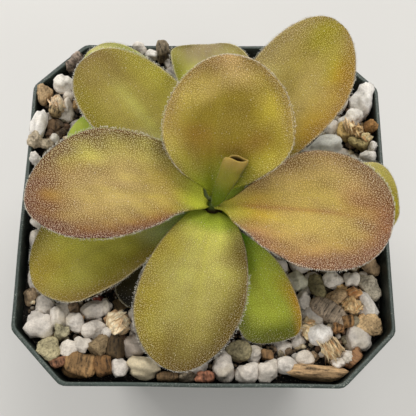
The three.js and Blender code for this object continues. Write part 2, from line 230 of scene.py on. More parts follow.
# each lamp is a disc at its distance from the aim, turned to it; the world is an even pale grey
def addStudio():
    for name, (azimuth, elevation, power) in studio["lamps"].items():
        light = bpy.data.lights.new(name, "AREA")
        light.shape = "DISK"
        light.size = studio["size"]
        light.energy = power
        light.color = hexColour(studio["colour"])
        back = pointing(azimuth, elevation)
        right = unit(np.cross((0, 0, 1), back))
        place = np.array(studio["aim"]) + studio["distance"] * back
        addObject(name, light, right, np.cross(back, right), back, place)
    world = bpy.data.worlds.new("paleRoom")
    world.use_nodes = True
    background = world.node_tree.nodes["Background"]
    setNode(background, {"Color": studio["world"], "Strength": studio["worldStrength"]})
    bpy.context.scene.world = world
    bpy.context.scene.view_settings.view_transform = "Standard"

    # matt white card: even, with the faintest cloudiness
    material, tree, surface, place = startMaterial("mattCard", {
        "Roughness": 0.85, "Specular IOR Level": 0.2})
    cloud = addNode(tree, "TexNoise", {"Vector": place, "Scale": 1 / studio["cloud"], "Detail": 2})
    pale, paler = studio["card"]
    tone = addNode(tree, "Mix", {0: cloud, 6: pale, 7: paler})
    setNode(surface, {"Base Color": tone})
    half = studio["floorSize"] / 2
    corners = [(x * half, y * half, 0) for x, y in ((-1, -1), (1, -1), (1, 1), (-1, 1))]
    mesh = bpy.data.meshes.new("floor")
    mesh.from_pydata(corners, [], [(0, 1, 2, 3)])
    mesh.materials.append(material)
    floor = bpy.data.objects.new("floor", mesh)
    bpy.context.collection.objects.link(floor)


addCamera()
addStudio()
print("camera, light and floor ready")


# pot

pot = {
    "height": 67, "rimHalf": 38, "cornerCut": 10.7, "cornerRound": 2.2, "around": 288,
    "drainRadius": 3, "drainOffset": 15, "drainSides": 40, "floorThickness": 1.6,
    "bow": 0.1, "bowLength": 34,  # mm that the thin walls wander by, and over what length
    # inside is the inner wall's painted shade, darker than the plastic's own green
    "colour": "#222D28", "inside": "#090D0B", "rimWearAndHighlight": "#37443E", "flow": "#55655C", "dust": "#9CA196",
}


# square with cut, rounded corners for a half width of 1: arcs about each corner's centre, resampled
# evenly round the outline
def unitOutline(count):
    cut, radius = pot["cornerCut"] / pot["rimHalf"], pot["cornerRound"] / pot["rimHalf"]
    corner = np.arange(8)
    side = np.pi / 2 * ((corner + 1) // 2)
    along = np.where(corner % 2 == 0, 1, -1) * (1 - cut)
    vertex = np.stack([np.cos(side) - along * np.sin(side), np.sin(side) + along * np.cos(side)], -1)
    bisector = np.pi / 4 * corner + np.pi / 8
    centre = vertex - radius / np.cos(np.pi / 8) * np.stack([np.cos(bisector), np.sin(bisector)], -1)
    angle = np.pi / 4 * (corner[:, None] + np.linspace(0, 1, 9)[None])
    arcs = (centre[:, None] + radius * np.stack([np.cos(angle), np.sin(angle)], -1)).reshape(-1, 2)
    loop = np.vstack([arcs, arcs[:1]])
    length = np.append(0, np.cumsum(np.linalg.norm(np.diff(loop, axis=0), axis=1)))
    at = np.linspace(0, length[-1], count, endpoint=False)
    return np.stack([np.interp(at, length, loop[:, 0]), np.interp(at, length, loop[:, 1])], -1)


# polypropylene, injection moulded: dark green, satin, paler on the rim top, partly from wear and
# partly a painted highlight, with lime dust, faint flow lines down the walls and fine scuffs
def potPlastic():
    material, tree, surface, place = startMaterial("polypropyleneMoulded", {
        "IOR": 1.49, "Specular IOR Level": 0.45})
    height = addNode(tree, "SeparateXYZ", {0: place}).outputs["Z"]
    # the paler band on the rim top is partly wear and partly a painted highlight
    rimTopBand = addNode(tree, "MapRange", {0: height, "range": (65.9, 66.9, 0, 1)})
    patch = addNode(tree, "TexNoise", {"Vector": place, "Scale": 1 / 5, "Detail": 4})
    rimWearAndHighlight = addNode(tree, "Math MULTIPLY", {0: rimTopBand, 1: patch})
    tint = addNode(tree, "Attribute", {"attribute_name": "tint"})
    body = addNode(tree, "Mix", {0: rimWearAndHighlight, 6: tint, 7: pot["rimWearAndHighlight"]})
    # flow lines: 1.3 mm across, drawn out down the wall
    drawn = addNode(tree, "VectorMath MULTIPLY", {0: place, 1: (1 / 1.3, 1 / 1.3, 1 / 22)})
    streak = addNode(tree, "TexNoise", {"Vector": drawn, "Scale": 1, "Detail": 3})
    streakTone = addNode(tree, "ValToRGB", {0: streak, "stops": [(0.42, 0.0), (0.72, 0.12)]})
    lined = addNode(tree, "Mix", {0: streakTone, 6: body, 7: pot["flow"]})
    # lime dust in specks of 0.3 mm, gathered in clouds of 6 mm, most of it near the rim
    speck = addNode(tree, "TexNoise", {"Vector": place, "Scale": 1 / 0.3, "Detail": 2})
    cloud = addNode(tree, "TexNoise", {"Vector": place, "Scale": 1 / 6, "Detail": 3})
    speckMask = addNode(tree, "MapRange", {0: speck, "range": (0.54, 0.7, 0, 1)})
    cloudMask = addNode(tree, "MapRange", {0: cloud, "range": (0.35, 0.7, 0.1, 0.9)})
    high = addNode(tree, "MapRange", {0: height, "range": (60, 66.2, 0.15, 0.8)})
    spread = addNode(tree, "Math MULTIPLY", {0: high, 1: cloudMask})
    dust = addNode(tree, "Math MULTIPLY", {0: speckMask, 1: spread})
    dusty = addNode(tree, "Mix", {0: dust, 6: lined, 7: pot["dust"]})
    rough = addNode(tree, "MapRange", {0: dust, "range": (0, 1, 0.42, 0.8)})
    grain = addNode(tree, "Math ADD", {0: streak, 1: speck})
    bump = addNode(tree, "Bump", {"Strength": 0.22, "Distance": 0.12 * mm, "Height": grain})
    setNode(surface, {"Base Color": dusty, "Roughness": rough, "Normal": bump})
    return material


# rings of the outline at each [height, half width] of the wall's section, going up outside, over
# the rounded rim and down inside, closed by a point under and a point over the floor
def addPot():
    outside = [(0, 8.0), (0, 20), (0, 26.2), (0.25, 26.75), (0.8, 27.1)]
    outside += [(z, 27.2 + (z - 0.8) * 8.4 / 57.8) for z in np.linspace(1.6, 58.3, 12)]
    outside += [(58.6, 35.75), (58.85, 36.2), (59.1, 36.55), (59.7, 36.74)]
    outside += [(z, 36.6 + (z - 59) * 1.4 / 7.3) for z in np.linspace(60.8, 65.6, 5)]
    # the rim is flat on top with small rounds, a power mean of its width and height
    up, out = np.sin(np.linspace(0, np.pi, 13)), np.cos(np.linspace(0, np.pi, 13))
    rim = [*zip(66.5 + 0.5 * up ** 0.45, 37.6 + 0.4 * np.sign(out) * abs(out) ** 0.6)]
    inside = [(z, 36.35 + 0.14 * (z - 60)) for z in np.linspace(65.6, 60, 8)]
    inside += [(59.2, 35.85), (58.4, 35.1), (57.8, 34.6)]
    inside += [(z, 26.2 + (z - 1.6) * 8.4 / 56.2) for z in np.linspace(54, 3, 6)]
    inside += [(2, 26.1), (1.7, 25.8), (1.6, 25.2), (1.6, 20), (1.6, 8)]
    section = np.array(outside + rim + inside)
    rows, count = len(section), pot["around"]
    rings = np.concatenate([unitOutline(count)[None] * section[:, 1, None, None],
                            np.broadcast_to(section[:, 0, None, None], (rows, count, 1))], -1)
    # the wall wanders a little, the same on both faces, and not at the foot
    middle = rings * np.array([0.98, 0.98, 1])
    wander = pot["bow"] * ripple(middle, pot["bowLength"], 3) * smooth(rings[..., 2], 2, 12)
    rings[..., :2] += wander[..., None] * unit(rings[..., :2])
    points = np.vstack([rings.reshape(-1, 3), [[0, 0, 0], [0, 0, pot["floorThickness"]]]])
    # the inner wall is painted darker below the rim: painted shade
    inner = smooth(np.arange(rows), len(outside) + 10, len(outside) + 15)
    tint = mix(hexColour(pot["colour"]), hexColour(pot["inside"]), np.repeat(inner, count)[:, None])
    tint = np.vstack([tint, tint[:1], tint[-1:]])
    shell = buildPiece("potShell", points, ringFaces(rows, count), potPlastic(), ["pot"],
                       tint=tint)

    # four drain holes cut through the floor
    drill = bmesh.new()
    radius, offset = pot["drainRadius"] * mm, pot["drainOffset"] * mm
    for x, y in ((1, 1), (-1, 1), (-1, -1), (1, -1)):
        at = Matrix.Translation((x * offset, y * offset, 0.5 * mm))
        bmesh.ops.create_cone(drill, cap_ends=True, segments=pot["drainSides"], radius1=radius,
                              radius2=radius, depth=5 * pot["floorThickness"] * mm, matrix=at)
    drillMesh = bpy.data.meshes.new("drill")
    drill.to_mesh(drillMesh)
    drill.free()
    cutter = bpy.data.objects.new("drill", drillMesh)
    bpy.context.collection.objects.link(cutter)
    cut = shell.modifiers.new("drains", "BOOLEAN")
    cut.operation = "DIFFERENCE"
    cut.object = cutter
    cut.solver = "EXACT"
    finished = bpy.data.meshes.new_from_object(shell.evaluated_get(bpy.context.evaluated_depsgraph_get()))
    shell.modifiers.clear()
    shell.data = finished
    bpy.data.objects.remove(cutter)
    print("pot:", len(shell.data.polygons), "faces")


addPot()


# rosette: shapes of the leaves

crown = {
    "place": (1.75, -1.4), "start": 2.5,  # mm: the stem's middle, and where the leaves start from it
    "profile": [(0.02, -13), (1.6, -13), (2.4, -12.7), (2.5, -10), (2.5, -6.4), (2.2, -5.5), (1.95, -4.6),
                (1.9, -2.6), (1.9, -0.8), (1.8, 0.6), (1.55, 1.5), (1.25, 2.1), (0.9, 2.5), (0.5, 2.7),
                (0.02, 2.75)],  # radius and height over the rim
    # low is near black: painted shade deep among the leaf bases
    "sides": 48, "rings": 60, "low": "#1C180C", "top": "#44561A",
}
commonLeaf = {
    "widest": 0.6, "narrow": 0.16, "flare": 1.4, "round": 2.1, "sweep": 0, "roll": 0, "widthLean": 0,
    "widestLean": 0, "flareLean": 0, "cup": (50, 18), "grid": (76, 46), "hairSpacing": 0.44, "blush": 0.5,
    "groove": 0.3, "under": "#8F8F4A", "rib": "#A89A40", "ribStrength": 0.2, "ribWidth": 0.7,
    "marginRed": "#6E3A26", "heel": "#8FA51E", "heelReach": 0.13, "sideFrom": (0.02, 0.3), "fresh": False,
    "fringeFrom": 0.08, "root": 2.0,  # mm that the base runs on into the crown
}
leafMeasures = ("azimuth", "length", "width", "height", "lift", "dip")
leafTones = ("base", "middle", "tip", "left", "right")
# each leaf's measures, as in the solid parts, with the height of its base over the rim; its tones,
# left and right being the margins at either side of the midrib; and what else sets it apart
leaves = {
    "leaf_back_upright": (
        (87, 27, 29, 5.3, 42, 24), ("#986425", "#9A8628", "#E1C677", "#E1CE5D", "#DAC841"),
        dict(cup=(60, 30), widest=0.44, narrow=0.14, flare=0.8, round=1.8, sweep=-0.06, roll=-9,
             widthLean=-0.18, blush=0.7, marginRed="#D6937A", heel="#7F9A1A", heelReach=0.42)),
    "leaf_left_upper": (
        (180, 35.5, 26.6, 3.6, 29, -6), ("#C2AC48", "#C5AC68", "#A17112", "#955F18", "#E1DE69"),
        dict(cup=(55, 20), narrow=0.14, flare=0.93, round=1.8, sweep=0.02, roll=13, widthLean=0.03,
             flareLean=0.5, blush=1.15, heel="#BCC83C", heelReach=0.22)),
    "leaf_right_upper": (
        (-12.5, 34.3, 26.3, 3.4, 28, -8), ("#C9A83B", "#CBB15D", "#BC844A", "#E1C378", "#C39461"),
        dict(cup=(55, 20), widest=0.57, narrow=0.08, flare=1.22, round=2, sweep=0.05, widthLean=-0.06,
             widestLean=-0.03, flareLean=0.2, blush=1, heel="#B4B848", heelReach=0.22, root=4.2,
             rib="#A5663C", ribStrength=0.5, ribWidth=0.6)),
    "leaf_front": (
        (261, 33, 21.4, 1.4, 24, -30), ("#CECA5E", "#B6AC5C", "#715D07", "#6D6207", "#B9AA33"),
        dict(cup=(20, 0), widest=0.58, narrow=0.4, flare=0.8, round=1.8, sweep=-0.03, roll=-14,
             widthLean=-0.05, widestLean=-0.04, flareLean=-0.13, blush=0.6, marginRed="#7A6A2E",
             fringeFrom=0.24)),
    "leaf_back_left": (
        # its base and rib tones are set paler to offset the shade at its foot: painted light
        (129, 39.2, 21, 1.8, 20, 1), ("#E1E1E1", "#A49642", "#7F6A2F", "#928A0D", "#B5AF33"),
        dict(cup=(50, 15), widest=0.54, narrow=0.14, round=2, sweep=0.02, widestLean=0.09, blush=0.35,
             rib="#C2BF62", ribStrength=0.5, ribWidth=1.6)),
    "leaf_back_right": (
        # its heel tone is set paler to offset the shade at its foot: painted light
        (51.5, 43.5, 22, 1.3, 27, 13), ("#448607", "#B7A257", "#AFA807", "#E1D07F", "#BD9807"),
        dict(cup=(50, 25), widest=0.61, narrow=0.3, flare=1.5, round=1.85, sweep=0.05, roll=4,
             widthLean=-0.07, widestLean=-0.03, blush=0.6, heel="#D2DC50", heelReach=0.2)),
    "leaf_front_right_low": (
        (294.5, 28.8, 14.5, -0.7, 16, -26), ("#69E108", "#B5C03F", "#626F07", "#E1A20B", "#65751F"),
        dict(cup=(35, 0), widest=0.7, round=1.9, sweep=0.14, roll=10, widthLean=-0.12, widestLean=-0.17,
             blush=0.3, sideFrom=(0.5, 0.85), grid=(64, 40), hairSpacing=0.42)),
    "leaf_front_left_low": (
        # its base and heel tones are set paler to offset the shade of the leaf above: painted light; its
        # right margin, under that leaf, is darker: painted shade
        (199.3, 37.2, 22.6, -0.7, 9, -8), ("#E1E1B2", "#C6C150", "#B7A537", "#8A7707", "#72731F"),
        dict(cup=(40, 10), widest=0.66, flare=1.5, round=1.85, sweep=0.06, roll=3.5, widthLean=-0.09,
             widestLean=0.02, blush=0.4, heel="#A8D836", heelReach=0.4)),
    "leaf_back_low": (
        (88.7, 34.7, 19.3, -0.7, 15, 3), ("#5F9410", "#E1E15C", "#9F906B", "#767807", "#8A7A3A"),
        dict(cup=(40, 18), widest=0.74, narrow=0.11, flare=2.2, round=2.7, sweep=0.05, roll=-11,
             widthLean=-0.09, widestLean=0.19, flareLean=0.24, blush=0.2, grid=(64, 40), hairSpacing=0.5,
             fresh=True, heel="#6FA016")),
    "leaf_right_lowest": (
        (0.6, 36.3, 19, -2.7, 12, 1), ("#7F8F34", "#B5C507", "#A0901D", "#E1D481", "#9A9440"),
        dict(cup=(25, 18), widest=0.69, round=2.2, roll=1, widestLean=0.16, blush=0.1, grid=(56, 36),
             hairSpacing=0.55)),
    "leaf_back_left_lowest": (
        (125.3, 43.9, 17.5, -2.6, 13.5, -2), ("#7F8F34", "#BCBC77", "#D4CD86", "#9AA33C", "#9AA33C"),
        dict(cup=(25, 18), widest=0.59, blush=0.1, grid=(56, 36), hairSpacing=0.55)),
    "leaf_left_lowest": (
        (149.6, 34, 18, -4.7, 10, 3), ("#5F9410", "#BED048", "#C6D25E", "#6FA016", "#76A822"),
        dict(cup=(20, 18), widest=0.59, sweep=-0.03, blush=0, grid=(56, 36), hairSpacing=0.8, fresh=True)),
    "leaf_front_left_old": (
        # its tones, near black at the tip, are painted shade: the leaf lies deep under the others
        (226, 24, 13, -4.5, 3, -3), ("#8A8448", "#4A4424", "#1E1A12", "#3A3420", "#3A3420"),
        dict(cup=(20, 10), blush=0, grid=(48, 32), hairSpacing=0.7, fresh=True, heel="#8A8448")),
}
leaves = {name: {**commonLeaf, **dict(zip(leafMeasures, measures)), **dict(zip(leafTones, tones)), **rest}
          for name, (measures, tones, rest) in leaves.items()}


# half width and midline at s along the leaf. The half width rises as a power of a sine up to the
# widest point and falls as a superellipse to the tip; the side of the midrib is the sign of v
def leafHalfWidth(leaf, s, side):
    widest = leaf["widest"] + leaf["widestLean"] * side
    rising = np.sin(np.pi / 2 * np.clip(s / widest, 0, 1)) ** (leaf["flare"] + leaf["flareLean"] * side)
    falling = np.clip((s - widest) / (1 - widest), 0, 1)
    profile = np.where(s < widest, mix(leaf["narrow"], 1, rising),
                       np.maximum(1 - falling ** leaf["round"], 0) ** (1 / leaf["round"]))
    profile = profile * (1 + 0.75 * np.minimum(s, 0) * leaf["length"] / leaf["root"])
    return leaf["width"] / 2 * (1 + leaf["widthLean"] * side) * profile


# leaf's middle surface: the midline is an arc from lift to dip, across it the blade is an arc that
# cups upwards, turned about the midline by roll and moved sideways by sweep times s squared
def leafSurface(leaf, s, v):
    start = np.radians(leaf["lift"])
    bend = np.radians(leaf["dip"]) - start
    pitch = start + bend * s
    reach = crown["start"] + leaf["length"] * (np.sin(pitch) - np.sin(start)) / bend
    height = leaf["height"] - leaf["length"] * (np.cos(pitch) - np.cos(start)) / bend
    halfWidth = leafHalfWidth(leaf, s, np.sign(v))
    cup = np.maximum(np.radians(mix(leaf["cup"][0], leaf["cup"][1], s)), 1e-3)
    flatAcross = halfWidth * np.sin(cup * v) / cup
    flatUp = halfWidth * (1 - np.cos(cup * v)) / cup
    roll = np.radians(leaf["roll"]) * s
    across = flatAcross * np.cos(roll) - flatUp * np.sin(roll) + leaf["length"] * leaf["sweep"] * s * s
    up = flatAcross * np.sin(roll) + flatUp * np.cos(roll)
    outward = reach - up * np.sin(pitch)
    azimuth = np.radians(leaf["azimuth"])
    return np.stack([crown["place"][0] + outward * np.cos(azimuth) - across * np.sin(azimuth),
                     crown["place"][1] + outward * np.sin(azimuth) + across * np.cos(azimuth),
                     pot["height"] + height + up * np.cos(pitch)], -1)


# unit normals of a surface by small steps along and across it
def surfaceNormals(surface, s, v):
    step = 0.004
    sIn = np.minimum(s, 1 - 2 * step)
    along = surface(np.minimum(sIn + step, 1), v) - surface(sIn - step, v)
    across = surface(sIn, np.minimum(v + step, 1)) - surface(sIn, np.maximum(v - step, -1))
    return unit(np.cross(along, across))


print("leaf shapes ready:", len(leaves))


# substrate

ground = {
    "centre": -8.6, "edgeRise": 4.5, "slope": (-1.2, 0.6), "reach": 36,  # mm
    "ceilingCell": 0.5, "ceilingHalf": 50, "clearance": 0.35,
    "around": 160, "rings": 46, "ringHalf": 36.5, "foot": 1.9,
}


# height of the core: a dish that rises with the square of the distance, tilted a little
def coreHeight(x, y):
    far = np.minimum(np.hypot(x, y) / ground["reach"], 1)
    return (pot["height"] + ground["centre"] + ground["edgeRise"] * far ** 2
            + (ground["slope"][0] * x + ground["slope"][1] * y) / ground["reach"])


# cells of the plan that hold the places x, y
def ceilingCell(place):
    return ((place + ground["ceilingHalf"]) / ground["ceilingCell"]).astype(int)


# lowest leaf underside over each cell of the plan, so that grains stay under the leaves
def leafCeiling():
    cells = int(2 * ground["ceilingHalf"] / ground["ceilingCell"])
    ceiling = np.full((cells, cells), 1e3)
    s, v = np.meshgrid(np.linspace(0, 1, 160), np.linspace(-1, 1, 120), indexing="ij")
    for leaf in leaves.values():
        low = leafSurface(leaf, s, v).reshape(-1, 3)
        index = ceilingCell(low[:, :2])
        np.minimum.at(ceiling, (index[:, 0], index[:, 1]), low[:, 2] - 0.5)
    return ceiling


ceiling = leafCeiling()


# lowest ceiling within a radius of one place
def ceilingOver(x, y, radius):
    low = np.maximum(ceilingCell(np.array([x, y]) - radius), 0)
    high = ceilingCell(np.array([x, y]) + radius) + 2
    return ceiling[low[0]:high[0], low[1]:high[1]].min()


# peat and fines under the grains: nearly black, partly the peat's own colour and partly painted shade of
# the gaps between grains, gritty at 0.45 mm and darker in the grit's low spots, with specks of perlite dust
def peatFines():
    material, tree, surface, place = startMaterial("peatFines", {
        "Roughness": 0.9, "Specular IOR Level": 0.3})
    grit = addNode(tree, "TexNoise", {"Vector": place, "Scale": 1 / 0.45, "Detail": 5, "Roughness": 0.65})
    # the dark stops are partly painted shade: the gaps and the grit's low spots are darkened as shade
    tone = addNode(tree, "ValToRGB", {
        0: grit, "stops": [(0.3, "#0B0A09"), (0.5, "#171310"), (0.66, "#2C241B"), (0.8, "#5C4D3A")]})
    dust = addNode(tree, "TexNoise", {"Vector": place, "Scale": 1 / 0.28, "Detail": 2})
    speck = addNode(tree, "MapRange", {0: dust, "range": (0.64, 0.7, 0, 0.7)})
    dusted = addNode(tree, "Mix", {0: speck, 6: tone, 7: "#A8A496"})
    bump = addNode(tree, "Bump", {"Strength": 0.9, "Distance": 0.4 * mm, "Height": grit})
    setNode(surface, {"Base Color": dusted, "Normal": bump})
    return material


# closed bed: rings up the inside of the wall, then rings that shrink to the middle over the dish
def addSoilBed():
    outline = unitOutline(ground["around"])
    foot = ground["foot"]
    walls = [(foot, 12.0), (foot, 25.9), (20, 28.5), (40, 31.6), (58, 34.2), (61.5, 36.0)]
    rings = [np.c_[outline * half, np.full(len(outline), z)] for z, half in walls]
    for k in np.linspace(1, 0.02, ground["rings"]):
        ring = outline * ground["ringHalf"] * k
        z = coreHeight(ring[:, 0], ring[:, 1])
        flat = np.c_[ring, z]
        z = z + 0.3 * ripple(flat, 2.6, 5) + 0.18 * ripple(flat, 1.1, 6) - 0.5 * (k > 0.97)
        rings.append(np.c_[ring, z])
    points = np.vstack(rings + [[[0, 0, foot], [0, 0, coreHeight(0, 0)]]])
    buildPiece("soilBed", points, ringFaces(len(rings), len(outline)), peatFines(), ["soil"])


addSoilBed()


# directions on a sphere: the two poles and rings between, with triangles at the poles
def sphereGrid(rings, columns):
    polar = np.pi * np.arange(1, rings) / rings
    turn = 2 * np.pi * np.arange(columns) / columns
    polar, turn = np.meshgrid(polar, turn, indexing="ij")
    middle = np.stack([np.sin(polar) * np.cos(turn), np.sin(polar) * np.sin(turn), np.cos(polar)], -1)
    directions = np.vstack([[[0, 0, 1]], middle.reshape(-1, 3), [[0, 0, -1]]])
    ring = 1 + np.arange(columns)
    after = 1 + (np.arange(columns) + 1) % columns
    last = (rings - 2) * columns
    top = np.stack([np.zeros(columns, int), ring, after], -1)
    bottom = np.stack([np.full(columns, len(directions) - 1), last + after, last + ring], -1)
    quads = 1 + gridQuads(rings - 1, columns, closed=True)[:, [0, 3, 2, 1]]
    return directions, quads, np.vstack([top, bottom])


# radius of popcorn lumps: a soft maximum of a few spheres that all hold the centre
def lumpRadius(directions, count, rng, lobes=8, power=18):
    away = unit(rng.normal(size=(count, lobes, 3))) * rng.uniform(0.34, 0.6, (count, lobes, 1))
    size = rng.uniform(0.61, 0.7, (count, lobes))
    along = np.einsum("vk,nlk->nvl", directions, away)
    reach = along + np.sqrt(np.maximum(along ** 2 + size[:, None] ** 2 - (away ** 2).sum(-1)[:, None], 1e-4))
    radius = (reach ** power).mean(-1) ** (1 / power)
    return radius / radius.max(axis=1, keepdims=True)


# radius of a broken stone: planes at random, joined by a power mean so that the edges stay worn
def chippedRadius(directions, count, rng, planes=13, power=11):
    normals = unit(rng.normal(size=(count, planes, 3)))
    away = rng.uniform(0.72, 1.05, (count, planes))
    facing = np.maximum(np.einsum("vk,nlk->nvl", directions, normals), 0) / away[:, None]
    radius = np.maximum((facing ** power).sum(-1), 1e-9) ** (-1 / power)
    return np.minimum(radius, 1.3) / 1.12


# radius of a squared chip: one over the power mean of the coordinates
def blockRadius(directions, count, power=3.6):
    radius = (np.abs(directions) ** power).sum(-1) ** (-1 / power)
    return np.broadcast_to(radius, (count, len(directions))).copy()


# turns as matrices of unit quaternions: any turn at all, or one about Z with a little tilt
def turnMatrices(count, rng, turns=None, tilt=0.12):
    if turns is None:
        q = unit(rng.normal(size=(count, 4)))
    else:
        half = np.radians(turns) / 2
        lean = tilt / 2 * rng.normal(size=(2, count))
        q = unit(np.stack([np.cos(half), *lean, np.sin(half)], -1))
    w, x, y, z = q.T
    rows = [1 - 2 * (y * y + z * z), 2 * (x * y - w * z), 2 * (x * z + w * y),
            2 * (x * y + w * z), 1 - 2 * (x * x + z * z), 2 * (y * z - w * x),
            2 * (x * z - w * y), 2 * (y * z + w * x), 1 - 2 * (x * x + y * y)]
    return np.stack(rows, -1).reshape(-1, 3, 3)


# share of each size of grain; swell of the chief grains and stretch of the rest against their
# places; relief as a part of the radius and the length of its waves; darkest tone in the creases, a painted
# shade
kinds = {
    "perlite": {
        "piece": "perliteGrains", "share": (0.6, 0.55, 0.14, 0.04), "swell": 1.18, "stretch": 0.22,
        "relief": (0.045, 0.6), "crease": 0.74,
        "colours": ["#E6DED3", "#E0D7CA", "#EBE3D8", "#DAD0C2", "#E4DBCF"],
    },
    "pumice": {
        "piece": "pumiceStones", "share": (0.18, 0.18, 0.2, 0.13), "swell": 1.26, "stretch": 0.25,
        "relief": (0.05, 0.45), "crease": 0.6,
        "colours": ["#C2B296", "#AC9C80", "#CABB9E", "#9C9278", "#B3A794"],
    },
    "bark": {
        "piece": "barkChips", "share": (0.16, 0.2, 0.45, 0.7), "swell": 1.14, "stretch": 0.5,
        "relief": (0.03, 0.7), "crease": 0.6,
        "colours": ["#927C62", "#75634E", "#A68E70", "#54473A", "#8A6E56"],
    },
    "vermiculite": {
        "piece": "vermiculiteFlakes", "share": (0.08, 0.07, 0.1, 0.05), "swell": 1.12, "stretch": 0.4,
        "relief": (0.03, 0.5), "crease": 0.6,
        "colours": ["#F4E2B4", "#E6C88E", "#F7EAC6", "#DDB97E", "#F0DDB2"],
    },
}

